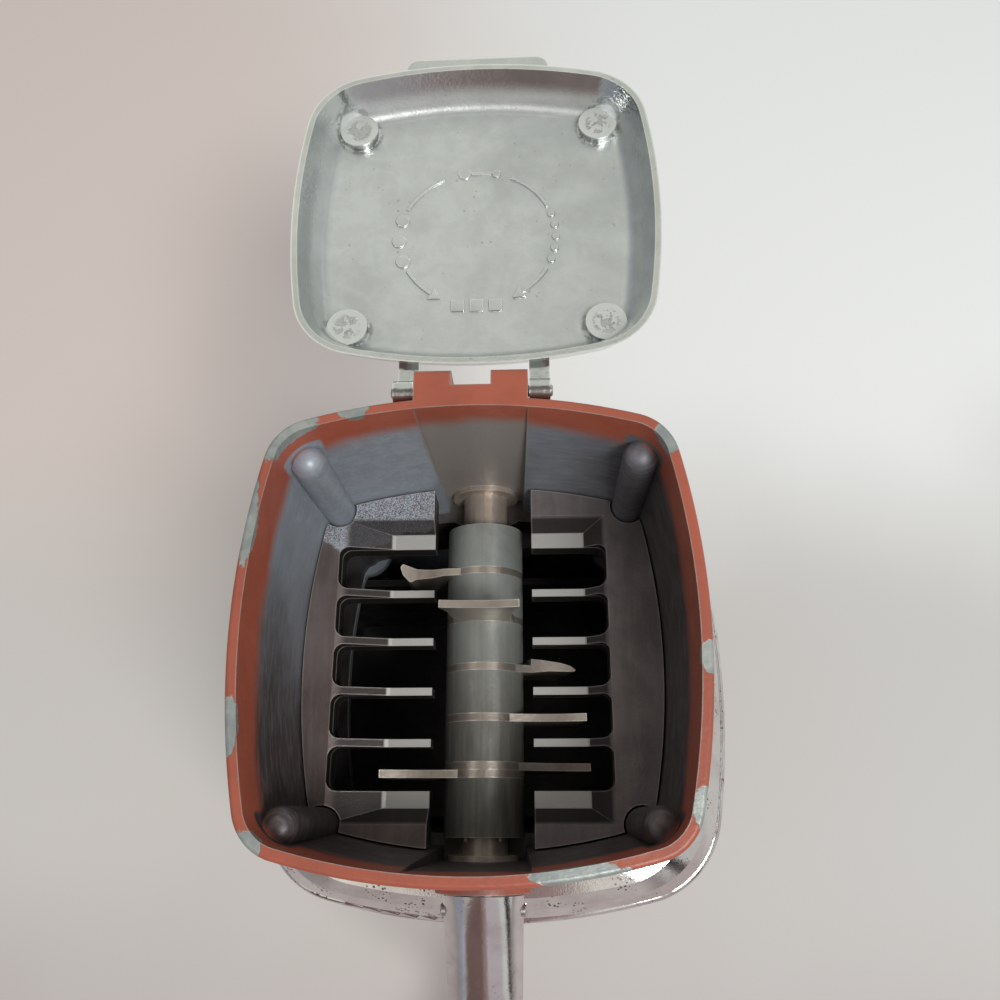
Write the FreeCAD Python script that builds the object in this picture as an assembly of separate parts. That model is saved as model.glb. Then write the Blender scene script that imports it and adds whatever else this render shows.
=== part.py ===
"""Hand crank ice crusher: a cast hopper with a hinged lid, two slotted grates, a bladed
shaft turned by a crank, and a housing with a pull-out ice receiver.

Millimetres, +Z up. The origin is on the table, straight under the middle of the hopper.
-Y is the crank side, +Y the hinge side, and the receiver pulls out towards -X.
"""

import FreeCAD
import Part
import math
import os

V = FreeCAD.Vector
X_AXIS = V(1, 0, 0)
Y_AXIS = V(0, 1, 0)
Z_AXIS = V(0, 0, 1)

# Overall heights above the table
rim_z = 200.0
shaft_drop = 61.5
parting_drop = 4.5
deck_drop = 89.0
shoulder_drop = 96.0
cover_top_drop = 75.0
foot_height = 5.5
foot_setback = 0.4
foot_width = 18.0
foot_land = 1.6

# Clearances
running_gap = 0.05
press_gap = 0.02
seat_gap = 0.3
grate_gap = 0.5
hole_end_gap = 1.0

# How far a cutting shape runs past the solid that it cuts, and half sizes of boxes round the hopper
past = 1.0
far_x = 60.0
far_y = 80.0

# Hopper: plan outlines are squares with bulged sides and round corners
mouth_half_x = 51.7
mouth_half_y = 53.0
side_radius_x = 177.0
side_radius_y = 148.0
corner_radius = 12.0
hopper_wall = 2.6
throat_half_x = 47.8
throat_half_y = 47.9
throat_drop = 47.5
rim_round = 1.0
rib_x = 40.0
rib_y = 41.4
rib_radius = 4.3
rib_top_drop = 12.0

# Bearing panels: flat recesses in the front and back walls that carry the bushes
panel_y = 50.0
panel_top_half = 13.3
panel_bottom_half = 10.9
pad_top_drop = 20.0
boss_radius = 12.5
boss_face_y = 57.5
blind_wall = 2.0

# Bushes
bush_inner_radius = 6.35
bush_body_radius = 8.6
bush_flange_radius = 9.4
bush_flange = 1.4
bush_room = 20.0

# Shaft, spacers and blades
neck_back_y = 38.2
neck_front_y = -44.3
square_side = 9.5
drive_radius = 5.0
drive_flat = 3.9
drive_length = 7.0
spacer_radius = 10.6
blade_thickness = 2.0
blade_pitch = 13.2
blade_centre_y = -1.5
blade_reach = 26.5
blade_tip_half = 10.3
blade_waist_half = 8.2
blade_hollow = 0.8
blade_angles = (180.0, 90.0, -18.0, -5.0, -24.0, 180.0)
blade_bend = 4.0

# Plan outlines of the two bent arms, as shares of the arm's free length and of half its thickness
bent_arms = {
    0: ((0.226, 0.7), (0.478, 0.8), (0.673, 1.9), (0.730, 2.1), (0.767, 1.2),
        (0.723, -0.9), (0.610, -2.8), (0.572, -2.9), (0.484, -2.1), (0.226, -1.7)),
    2: ((0.006, 2.7), (0.195, 2.6), (0.535, 1.9), (0.698, 1.1), (0.780, 0.0), (0.748, -0.4), (0.321, -0.4)),
}

# Grates
grate_depth = 10.5
grate_inner_x = 13.4
grate_front_gap = 0.4
finger_thickness = 2.0
finger_pitch = 13.2
finger_drop = 4.4
coarse_bar_x = 39.3
coarse_flat_x = 24.5
fine_bar_x = 33.6
fine_flat_x = 27.4
pad_back_y = 31.0
pad_front_y = -33.2
pad_flat = 3.9
pad_slope = 4.1
slot_corner = 2.6
dip_run = 5.0

# Mill frame
frame_wall = 3.0
saddle_half = 13.0
saddle_inner_y = 42.2
saddle_round = 8.0
saddle_depth = 16.0
column_radius = 5.2
saddle_run = 24.0
saddle_skin = 0.5
spigot_root = 3.0
lane_margin = 4.3
cheek_gap = 1.0

# Shoulder cover and lower housing
lip_half_x = 70.5
lip_half_y = 67.5
lip_bead = 1.6
bead_inset = 0.64
bead_radius = 1.44
cover_wall = 1.6
base_taper = 3.0
housing_wall = 2.8
housing_corner = 26.0
housing_side_x = 230.0
housing_side_y = 190.0
deck_thickness = 3.0
deck_hole_half = 43.5
post_radius = 6.5
post_x = 50.5
post_y = 48.0
housing_inset = 0.8
collar_gap = 1.6
collar_corner = 2.0
step_drop = 6.0
column_land = 2.5
cover_margin = 1.0
cover_clear = 5.0
cover_inner_drop = 0.96
cover_corner_loss = 6.0
cover_shares = (0.0, 0.12, 0.34, 0.64, 1.0)

# Receiver and its opening
opening_half_y = 40.0
mouth_depth = 20.0
opening_top_drop = 20.0
front_corner = 7.0
tray_back_x = 56.0
tray_wall = 2.2
tray_clearance = 0.8
tray_front_x = -62.5
neck_margin = 6.0
neck_run = 9.0
neck_floor = 0.5
neck_top_drop = 3.0
neck_inset = 1.0
front_lift = 0.2
front_overlap = 5.0
front_thickness = 3.2
pull_half = 24.0
pull_reach = 19.0
pull_bar_radius = 4.0
pull_drop = 34.0
pull_bend = 8.0
pull_flange = 2.4
pull_root = 2.0
pull_hole_depth = 9.0

# Base plate
plate_thickness = 2.5
runner_height = 1.6
runner_y = 30.0
runner_half = 2.0
runner_root = 0.5
runner_front_x = -50.0
runner_back_x = 54.0

# Screws
screw_radius = 2.0
screw_head_radius = 3.6
screw_head = 2.6
screw_grip = 20.0
screw_head_round = 1.0
screw_slot_half = 2.2
screw_slot_side = 0.5
screw_slot_depth = 1.2

# Lid, drawn shut and then swung open on its pin
lid_half_x = 48.5
lid_half_y = 46.9
lid_depth = 11.5
lid_slope = 5.2
lid_wall = 2.0
lid_round = 5.0
lid_sink = 2.0
lid_lip = 1.7
lid_corner = 18.0
lid_inner_round = 3.6
lid_boss_x = 33.6
lid_boss_y = 31.7
lid_boss_radius = 5.3
lid_boss_height = 2.4
lid_tab_half = 20.0
lid_tab_thickness = 1.8
lid_tab_setback = 1.6
lid_tab_round = 3.5
pivot_y = 56.2
pivot_drop = 5.0
hinge_half = 13.4
hinge_back_y = 60.2
hinge_height = 11.0
hinge_notch_half = 4.7
hinge_notch = 4.4
hinge_root_y = 50.8
hinge_round = 2.0
hinge_web_drop = 10.0
hinge_pin_radius = 1.4
hinge_pin_end = 0.6
pin_chamfer = 0.3
lug_thickness = 5.0
lug_root_y = 41.9
lug_end_radius = 2.9
lug_height = 4.0
stop_gap = 0.3

# Crank
crank_radius = 90.0
hub_back_gap = 0.6
arm_half_width = 10.3
arm_end_half = 7.6
arm_crown = 8.4
arm_end_crown = 5.0
arm_root_slope = 26.0
arm_root_length = 28.0
arm_bend_radius = 26.0
arm_end_slope = 85.0
arm_stations = 11
arm_root_run = 9.0
arm_root_drop = 0.5
arm_edge_share = 0.3
hub_end_wall = 2.0
bore_end_gap = 0.3
hub_radius = 7.8
eye_radius = 8.6
eye_thickness = 6.0
knob_length = 33.0
eye_root = 1.0
knob_radius = 12.5
knob_neck_radius = 7.0
knob_waist_radius = 6.6
knob_swell_radius = 9.9
knob_brow_radius = 10.7
knob_nose_radius = 7.2
knob_shares = (0.16, 0.38, 0.62, 0.86)
knob_pin_radius = 3.0
knob_pin_head_radius = 5.2
knob_pin_head = 2.0
knob_pin_head_round = 0.8
knob_pin_rivet = 0.8
hub_pin_radius = 1.6

shaft_z = rim_z - shaft_drop
parting_z = shaft_z - parting_drop
grate_top_z = rim_z - throat_drop
grate_bottom_z = grate_top_z - grate_depth
finger_z = grate_top_z - finger_drop
deck_top_z = rim_z - deck_drop
shoulder_z = rim_z - shoulder_drop
cover_top_z = rim_z - cover_top_drop
opening_top_z = shoulder_z - opening_top_drop
pull_z = opening_top_z - pull_drop
deck_z = deck_top_z - deck_thickness
plate_top_z = foot_height + plate_thickness
tray_floor_z = plate_top_z + runner_height + seat_gap
pivot = V(0, pivot_y, rim_z - pivot_drop)


def outline(half_x, half_y, side_x, side_y, corner, z):
    """Closed wire of a square with bulged sides: four long arcs and four corner arcs."""
    a = half_x - side_x
    b = half_y - side_y
    reach_a = side_x - corner
    reach_b = side_y - corner
    k = (reach_a ** 2 - reach_b ** 2 - a ** 2 + b ** 2) / 2.0
    qa = 1.0 + (a / b) ** 2
    qb = -2.0 * a + 2.0 * a * k / b ** 2
    qc = a ** 2 + (k / b) ** 2 - reach_a ** 2
    cx = (-qb + math.sqrt(qb * qb - 4.0 * qa * qc)) / (2.0 * qa)
    cy = (k + a * cx) / b
    ux, uy = (cx - a) / reach_a, cy / reach_a
    vx, vy = cx / reach_b, (cy - b) / reach_b
    side_end = (a + side_x * ux, side_x * uy)
    back_end = (side_y * vx, b + side_y * vy)
    length = math.hypot(ux + vx, uy + vy)
    middle = (cx + corner * (ux + vx) / length, cy + corner * (uy + vy) / length)

    def at(point, sx, sy):
        return V(sx * point[0], sy * point[1], z)

    edges = [Part.Arc(at(side_end, 1, -1), V(half_x, 0, z), at(side_end, 1, 1)).toShape(),
             Part.Arc(at(side_end, 1, 1), at(middle, 1, 1), at(back_end, 1, 1)).toShape(),
             Part.Arc(at(back_end, 1, 1), V(0, half_y, z), at(back_end, -1, 1)).toShape(),
             Part.Arc(at(back_end, -1, 1), at(middle, -1, 1), at(side_end, -1, 1)).toShape(),
             Part.Arc(at(side_end, -1, 1), V(-half_x, 0, z), at(side_end, -1, -1)).toShape(),
             Part.Arc(at(side_end, -1, -1), at(middle, -1, -1), at(back_end, -1, -1)).toShape(),
             Part.Arc(at(back_end, -1, -1), V(0, -half_y, z), at(back_end, 1, -1)).toShape(),
             Part.Arc(at(back_end, 1, -1), at(middle, 1, -1), at(side_end, 1, -1)).toShape()]
    return Part.Wire(edges)


def hopper_outline(z, inset):
    """Outline of the hopper at a height, moved in from its outer face by an inset."""
    share = (rim_z - z) / throat_drop
    half_x = mouth_half_x - share * (mouth_half_x - hopper_wall - throat_half_x)
    half_y = mouth_half_y - share * (mouth_half_y - hopper_wall - throat_half_y)
    return outline(half_x - inset, half_y - inset, side_radius_x - inset,
                   side_radius_y - inset, corner_radius - inset, z)


def hopper_prism(low, high, inset):
    return Part.makeLoft([hopper_outline(low, inset), hopper_outline(high, inset)], True, True)


def housing_outline(z, inset):
    """Outline of the lower housing, which narrows a little towards the table."""
    narrowing = base_taper * (shoulder_z - z) / (shoulder_z - plate_top_z)
    shift = inset + narrowing
    return outline(lip_half_x - shift, lip_half_y - shift, housing_side_x, housing_side_y,
                   housing_corner - inset, z)


def housing_prism(low, high, inset):
    return Part.makeLoft([housing_outline(low, inset), housing_outline(high, inset)], True, True)


def box(x0, x1, y0, y1, z0, z1):
    return Part.makeBox(x1 - x0, y1 - y0, z1 - z0, V(x0, y0, z0))


def rod_y(radius, y0, y1, x=0.0, z=None):
    """Cylinder along Y, on the shaft's axis unless told otherwise."""
    height = shaft_z if z is None else z
    return Part.makeCylinder(radius, y1 - y0, V(x, y0, height), Y_AXIS)


def rod_z(radius, z0, z1, x, y):
    return Part.makeCylinder(radius, z1 - z0, V(x, y, z0), Z_AXIS)


def rod_x(radius, x0, x1, y, z):
    return Part.makeCylinder(radius, x1 - x0, V(x0, y, z), X_AXIS)


def polygon(points, direction):
    """Straight-sided prism from a list of points and an extrusion vector."""
    return Part.Face(Part.makePolygon(points + [points[0]])).extrude(direction)


def corners(x, y):
    return [(sx * x, sy * y) for sx in (-1, 1) for sy in (-1, 1)]


def fused(first, *others):
    return first.multiFuse(list(others)).removeSplitter()


def rounded_box(x0, x1, y0, y1, z0, z1, radius, axis):
    """Box whose four edges along one axis are rounded."""
    block = box(x0, x1, y0, y1, z0, z1)
    edges = [e for e in block.Edges
             if abs(abs((e.Vertexes[1].Point - e.Vertexes[0].Point).normalize().dot(axis)) - 1) < 1e-6]
    return block.makeFillet(radius, edges)


def edges_at(shape, z, tolerance=0.01):
    return [e for e in shape.Edges
            if abs(e.BoundBox.ZMin - z) < tolerance and abs(e.BoundBox.ZMax - z) < tolerance]


def panel_recess(side):
    """Cutter for a flat bearing panel, wider at the mouth than at the parting line."""
    low = parting_z - past
    points = [V(-panel_bottom_half, 0, low), V(panel_bottom_half, 0, low),
              V(panel_top_half, 0, rim_z - rim_round), V(-panel_top_half, 0, rim_z - rim_round)]
    return polygon(points, V(0, side * panel_y, 0))


def hopper():
    shell = hopper_prism(parting_z, rim_z, 0.0)
    shell = shell.makeFillet(rim_round, edges_at(shell, rim_z))
    pad_half = panel_top_half + hopper_wall
    pad_y = panel_y + hopper_wall
    shell = shell.fuse(box(-pad_half, pad_half, -pad_y, pad_y, parting_z, rim_z - pad_top_drop))
    cavity = hopper_prism(parting_z - past, rim_z + past, hopper_wall)
    ribs = [rod_z(rib_radius, parting_z, rim_z - rib_top_drop, x, y) for x, y in corners(rib_x, rib_y)]
    tips = [Part.makeSphere(rib_radius, V(x, y, rim_z - rib_top_drop)) for x, y in corners(rib_x, rib_y)]
    inside = ribs[0].multiFuse(ribs[1:] + tips).common(hopper_prism(parting_z, rim_z, rim_round))
    bosses = [rod_y(boss_radius, -boss_face_y, -panel_y), rod_y(boss_radius, panel_y, boss_face_y)]
    above = box(-far_x, far_x, -far_y, far_y, parting_z, rim_z)
    block = hinge_block()
    body = shell.cut(cavity).fuse(inside)
    body = body.cut(panel_recess(1)).cut(panel_recess(-1))
    body = fused(body, bosses[0].common(above), bosses[1].common(above), block)
    body = body.cut(bush_bores())
    holes = [rod_z(screw_radius + press_gap, parting_z - past, parting_z + screw_grip + hole_end_gap, x, y)
             for x, y in corners(rib_x, rib_y)]
    return body.cut(holes[0].multiFuse(holes[1:])).removeSplitter()


def bush_bores():
    """Space for both bushes: a through bore in front and a blind one behind."""
    reach = bush_body_radius + press_gap
    face = panel_y - bush_flange
    front = rod_y(reach, -boss_face_y - past, -face)
    back = rod_y(reach, face, boss_face_y - blind_wall)
    flange = bush_flange_radius + press_gap
    rims = rod_y(flange, face - bush_room, panel_y).fuse(rod_y(flange, -panel_y, -face + bush_room))
    return front.multiFuse([back, rims])


def hinge_block():
    low = rim_z - hinge_height
    block = box(-hinge_half, hinge_half, hinge_root_y, hinge_back_y, low, rim_z)
    back = [e for e in block.Edges
            if abs(e.BoundBox.YMin - hinge_back_y) < 0.01 and abs(e.BoundBox.YMax - hinge_back_y) < 0.01
            and e.BoundBox.XLength > hinge_half]
    block = block.makeFillet(hinge_round, back)
    notch = box(-hinge_notch_half, hinge_notch_half, hinge_back_y - hinge_notch, hinge_back_y + past,
                low - past, rim_z + past)
    web = polygon([V(-hinge_half, hinge_root_y, low),
                   V(-hinge_half, hinge_back_y - hinge_round, low),
                   V(-hinge_half, hinge_root_y, low - hinge_web_drop)], V(2 * hinge_half, 0, 0))
    hole = rod_x(hinge_pin_radius + press_gap, -hinge_half - past, hinge_half + past, pivot.y, pivot.z)
    return block.fuse(web).cut(notch).cut(hole)


def hinge_pin():
    reach = hinge_half + seat_gap + lug_thickness + hinge_pin_end
    pin = rod_x(hinge_pin_radius, -reach, reach, pivot.y, pivot.z)
    return pin.makeChamfer(pin_chamfer, [e for e in pin.Edges if e.BoundBox.XLength < 0.01])


def lid_ring(z, inset):
    """Outline of the shut lid at a height, moved in from its lip by an inset."""
    return outline(lid_half_x - inset, lid_half_y - inset, side_radius_x - inset,
                   side_radius_y - inset, lid_corner - inset, z)


def lid_cavity():
    """The hollow of the shut lid, open downwards."""
    low = rim_z - lid_sink
    top = low + lid_depth - lid_wall
    hollow = Part.makeLoft([lid_ring(low, lid_lip), lid_ring(top, lid_slope + lid_wall)], True, True)
    hollow = hollow.makeFillet(lid_inner_round, edges_at(hollow, top))
    bosses = [rod_z(lid_boss_radius, top - lid_boss_height, top + past, x, y)
              for x, y in corners(lid_boss_x, lid_boss_y)]
    return hollow.cut(bosses[0].multiFuse(bosses[1:]))


def lid_shell():
    """The lid as it lies shut: an upturned shallow pan with a rounded crown."""
    low = rim_z - lid_sink
    top = low + lid_depth
    outer = Part.makeLoft([lid_ring(low, 0.0), lid_ring(top, lid_slope)], True, True)
    return outer.makeFillet(lid_round, edges_at(outer, top))


def lid_tab():
    """Thumb tab that rests on the front of the rim."""
    low = rim_z + seat_gap
    tip = -mouth_half_y + lid_tab_setback
    root = -lug_root_y
    slab = box(-lid_tab_half, lid_tab_half, tip, root, low, low + lid_tab_thickness)
    ends = [e for e in slab.Edges if e.BoundBox.ZLength > past and abs(e.BoundBox.YMin - tip) < 0.01]
    return slab.makeFillet(lid_tab_round, ends)


def lid_lug(side):
    """Ear that reaches over the rim from the lid to the hinge pin."""
    x0 = hinge_half + seat_gap
    start = V(side * x0, 0, 0)
    low = rim_z + seat_gap
    high = low + lug_height
    wall_y = outer_wall_y(2 * pivot.z - high)
    heel = 2 * pivot.y - wall_y - stop_gap
    upright = [V(start.x, pivot.y - lug_end_radius, pivot.z), V(start.x, pivot.y - lug_end_radius, high),
               V(start.x, heel, high), V(start.x, heel, low), V(start.x, pivot.y + lug_end_radius, pivot.z)]
    bar = [V(start.x, lug_root_y, low), V(start.x, pivot.y, low),
           V(start.x, pivot.y, high), V(start.x, lug_root_y, high)]
    thickness = V(side * lug_thickness, 0, 0)
    end = Part.makeCylinder(lug_end_radius, lug_thickness, V(start.x, pivot.y, pivot.z), thickness)
    hole = Part.makeCylinder(hinge_pin_radius + running_gap, lug_thickness + 2.0 * past,
                             V(start.x - side * past, pivot.y, pivot.z), thickness)
    return fused(polygon(upright, thickness), polygon(bar, thickness), end).cut(hole)


def outer_wall_y(z):
    """How far back the hopper's outer wall stands at a height, in line with the lid lugs."""
    share = (rim_z - z) / throat_drop
    middle = mouth_half_y - share * (mouth_half_y - hopper_wall - throat_half_y)
    x = hinge_half + seat_gap
    return middle - side_radius_y + math.sqrt(side_radius_y ** 2 - x ** 2)


def lid():
    """The whole lid, drawn shut and then swung open by half a turn."""
    shut = fused(lid_shell(), lid_tab(), lid_lug(1), lid_lug(-1)).cut(lid_cavity())
    shut.rotate(pivot, X_AXIS, -180.0)
    return shut


def bush(side):
    face = panel_y - bush_flange
    end = boss_face_y if side < 0 else boss_face_y - blind_wall - seat_gap
    body = rod_y(bush_body_radius, face, end).fuse(rod_y(bush_flange_radius, face, panel_y))
    ring = body.cut(rod_y(bush_inner_radius, face - past, end + past)).removeSplitter()
    if side < 0:
        ring.rotate(V(0, 0, shaft_z), Z_AXIS, 180.0)
    return ring


def crank_shaft():
    neck = bush_inner_radius - running_gap
    back_end = boss_face_y - blind_wall - grate_gap
    rear = rod_y(neck, neck_back_y, back_end)
    front = rod_y(neck, -boss_face_y - hub_back_gap, neck_front_y)
    half = square_side / 2.0
    square = box(-half, half, neck_front_y - past, neck_back_y + past, shaft_z - half, shaft_z + half)
    tip_y = -boss_face_y - hub_back_gap - drive_length
    drive = rod_y(drive_radius, tip_y, -boss_face_y)
    flat = box(-drive_radius, drive_radius, tip_y - past, -boss_face_y - hub_back_gap,
               shaft_z + drive_flat, shaft_z + drive_radius + past)
    cross = rod_x(hub_pin_radius + press_gap, -hub_radius, hub_radius, tip_y + drive_length / 2.0, shaft_z)
    return fused(rear, square, front, drive.cut(flat)).cut(cross)


def blade_places():
    """Y of each blade's middle: one in every slot and a stacked pair in the front slot."""
    places = [blade_centre_y + blade_pitch * step for step in (2, 1, 0, -1)]
    last = blade_centre_y - 2 * blade_pitch
    return places + [last + blade_thickness / 2.0, last - blade_thickness / 2.0]


def square_hole(y0, y1):
    half = square_side / 2.0 + press_gap
    return box(-half, half, y0, y1, shaft_z - half, shaft_z + half)


def spacers():
    """The six distance rings between the blades, each pushed up to its neighbours."""
    half = blade_thickness / 2.0
    places = blade_places()
    stops = [neck_back_y]
    for y in places[:-2]:
        stops += [y + half, y - half]
    stops += [places[-2] + half, places[-1] - half, neck_front_y]
    rings = []
    for high, low in zip(stops[0::2], stops[1::2]):
        ring = rod_y(spacer_radius, low, high).cut(square_hole(low - past, high + past))
        rings.append(ring)
    return Part.makeCompound(rings)


def bent_plan(number):
    """Upright prism that trims a thick arm to its bent outline, straight as far as the spacers."""
    middle = blade_places()[number]
    half = blade_thickness / 2.0
    start = spacer_radius + seat_gap
    free = blade_reach - spacer_radius
    outer = [(start + u * free, middle + v * half) for u, v in bent_arms[number]]
    points = [(0.0, middle + half), (start, middle + half)] + outer
    points += [(start, middle - half), (0.0, middle - half)]
    return polygon([V(x, y, -blade_tip_half) for x, y in points], V(0, 0, 2.0 * blade_tip_half))


def blade(number):
    """One-armed ice blade: a disc on the shaft with a waisted arm. Two of the arms are bent."""
    y = blade_places()[number] - blade_thickness / 2.0
    thickness = V(0, blade_thickness, 0)
    waist_u = (spacer_radius + blade_reach) / 2.0
    root = V(0, y, blade_tip_half)
    tip = V(blade_reach, y, blade_tip_half)
    waist = V(waist_u, y, blade_waist_half)

    def low(point):
        return V(point.x, point.y, -point.z)

    tip_middle = V(blade_reach - blade_hollow, y, 0)
    edges = [Part.makeLine(low(root), root),
             Part.Arc(root, waist, tip).toShape(),
             Part.Arc(tip, tip_middle, low(tip)).toShape(),
             Part.Arc(low(tip), low(waist), low(root)).toShape()]
    face = Part.Face(Part.Wire(edges))
    if number in bent_arms:
        face.translate(V(0, -blade_bend, 0))
        arm = face.extrude(V(0, 2.0 * blade_bend + blade_thickness, 0))
        arm = arm.common(bent_plan(number))
    else:
        arm = face.extrude(thickness)
    disc = Part.makeCylinder(spacer_radius, blade_thickness, V(0, y, 0), Y_AXIS)
    shape = fused(arm, disc)
    shape.rotate(V(0, 0, 0), Y_AXIS, -blade_angles[number])
    shape.translate(V(0, 0, shaft_z))
    return shape.cut(square_hole(y - past, y + blade_thickness + past))


def grate(side, bar_x, flat_x):
    """Cast comb: an outer bar, four fingers that dip towards the shaft and two end pads."""
    plate = hopper_prism(grate_bottom_z, grate_top_z, hopper_wall + grate_gap)
    low, high = grate_bottom_z - past, grate_top_z + past
    window = box(min(side * grate_inner_x, side * far_x), max(side * grate_inner_x, side * far_x),
                 -far_y, far_y, low, high)
    plate = plate.common(window)
    notch = [rod_z(rib_radius + grate_gap, low, high, side * rib_x, y) for y in (-rib_y, rib_y)]
    plate = plate.cut(notch[0].fuse(notch[1]))
    fingers = [blade_centre_y + finger_pitch * (1.5 - k) for k in range(4)]
    half = finger_thickness / 2.0
    stops = [pad_back_y] + [y + s * half for y in fingers for s in (1, -1)] + [pad_front_y]
    for back, front in zip(stops[0::2], stops[1::2]):
        slot = rounded_box(-grate_inner_x, bar_x, front, back, low, high, slot_corner, Z_AXIS)
        if side < 0:
            slot = slot.mirror(V(0, 0, 0), X_AXIS)
        plate = plate.cut(slot)
    return plate.cut(grate_dip(side, bar_x, flat_x)).removeSplitter()


def grate_dip(side, bar_x, flat_x):
    """Cutter for the sunk middle of a grate: a flat floor with sloping ends."""
    def ring(z, x_out, back, front):
        x_in = side * (grate_inner_x - dip_run)
        points = [V(x_in, front, z), V(side * x_out, front, z), V(side * x_out, back, z), V(x_in, back, z)]
        return Part.makePolygon(points + [points[0]])

    rise = past / finger_drop
    over = 1.0 + rise
    floor = ring(finger_z, flat_x, pad_back_y + pad_flat, pad_front_y - pad_flat)
    top = ring(grate_top_z + past, flat_x + (bar_x - flat_x) * over,
               pad_back_y + pad_flat + pad_slope * over, pad_front_y - pad_flat - pad_slope * over)
    return Part.makeLoft([floor, top], True, True)


def mill_frame():
    """Casting under the hopper: it holds the grates, the saddles and the screw columns."""
    ring = hopper_prism(deck_top_z, parting_z, 0.0)
    spigot = hopper_prism(parting_z - spigot_root, grate_bottom_z, hopper_wall + seat_gap)
    around_ribs = [rod_z(rib_radius + seat_gap, parting_z, grate_bottom_z + past, x, y)
                   for x, y in corners(rib_x, rib_y)]
    spigot = spigot.cut(around_ribs[0].multiFuse(around_ribs[1:]))
    lane = panel_bottom_half + lane_margin
    spigot = spigot.cut(box(-lane, lane, -far_y, far_y, parting_z, grate_bottom_z + past))
    throat = hopper_prism(deck_top_z - past, grate_bottom_z + past, hopper_wall + frame_wall)
    walls = ring.fuse(spigot).cut(throat)
    columns = [rod_z(column_radius, deck_top_z, parting_z, x, y) for x, y in corners(rib_x, rib_y)]
    columns = columns[0].multiFuse(columns[1:]).common(hopper_prism(deck_top_z, parting_z, saddle_skin))
    saddles = [saddle(1), saddle(-1)]
    below = box(-far_x, far_x, -far_y, far_y, parting_z - saddle_depth, parting_z)
    boss_root = panel_y - hopper_wall
    bosses = [rod_y(boss_radius, -boss_face_y, -boss_root).common(below),
              rod_y(boss_radius, boss_root, boss_face_y).common(below)]
    body = fused(walls, columns, *saddles, *bosses).cut(bush_bores_below())
    holes = [rod_z(screw_radius + seat_gap, deck_top_z - past, parting_z + past, x, y)
             for x, y in corners(rib_x, rib_y)]
    return body.cut(holes[0].multiFuse(holes[1:])).removeSplitter()


def bush_bores_below():
    reach = bush_body_radius + press_gap
    face = panel_y - bush_flange
    flange = bush_flange_radius + press_gap
    necks = rod_y(bush_inner_radius + seat_gap, -face, face)
    cheeks = rod_y(spacer_radius + cheek_gap, neck_front_y - seat_gap, neck_back_y + seat_gap)
    front = rod_y(reach, -boss_face_y - past, -face).fuse(rod_y(flange, -panel_y, -face))
    back = rod_y(reach, face, boss_face_y - blind_wall).fuse(rod_y(flange, face, panel_y))
    return necks.multiFuse([cheeks, front, back])


def saddle(side):
    """Rounded block under a shaft neck, joined to the frame wall."""
    low = parting_z - saddle_depth
    inner = saddle_inner_y if side > 0 else -neck_front_y + seat_gap
    block = rounded_box(-saddle_half, saddle_half, inner, inner + saddle_run, low, parting_z,
                        saddle_round, Z_AXIS)
    if side < 0:
        block = block.mirror(V(0, 0, 0), Y_AXIS)
    return block.common(hopper_prism(low, parting_z, saddle_skin))


def shoulder_cover():
    """Bright domed skirt from the frame out to a rolled lip."""
    def ring(z, half_x, half_y, corner):
        return outline(half_x, half_y, housing_side_x, housing_side_y, corner, z)

    top_x = mouth_half_x + cover_margin
    top_y = boss_face_y - cover_margin
    rise = cover_top_z - shoulder_z

    def section(share, inset):
        swell = math.sqrt(1.0 - (1.0 - share) ** 2)
        spread = 1.0 - share
        z = shoulder_z + rise * swell
        half_x = top_x + (lip_half_x - top_x) * spread - inset
        half_y = top_y + (lip_half_y - top_y) * spread - inset
        return ring(z, half_x, half_y, housing_corner - inset - cover_corner_loss * share)

    outer = Part.makeLoft([section(s, 0.0) for s in cover_shares], True, True)
    inner_low = ring(shoulder_z - past, lip_half_x - cover_wall, lip_half_y - cover_wall, housing_corner)
    inner_rings = [section(s, cover_wall) for s in cover_shares]
    for wire in inner_rings:
        wire.translate(V(0, 0, -cover_inner_drop))
    inner_rings[-1].translate(V(0, 0, cover_wall))
    inner = Part.makeLoft([inner_low] + inner_rings[1:], True, True)
    skirt = outer.cut(inner)
    opening = hopper_prism(shoulder_z, cover_top_z + cover_clear, -seat_gap)
    bosses = rod_y(boss_radius + seat_gap, -far_y, far_y)
    bead_path = ring(shoulder_z + lip_bead, lip_half_x - bead_inset, lip_half_y - bead_inset,
                     housing_corner)
    start = bead_path.Vertexes[0].Point
    tangent = bead_path.Edges[0].tangentAt(bead_path.Edges[0].FirstParameter)
    profile = Part.Wire(Part.Circle(start, tangent, bead_radius).toShape())
    bead = bead_path.makePipeShell([profile], True, True)
    clear = housing_prism(shoulder_z - cover_clear, shoulder_z, -cover_clear)
    return fused(skirt, bead).cut(opening).cut(bosses).cut(clear).removeSplitter()


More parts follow.
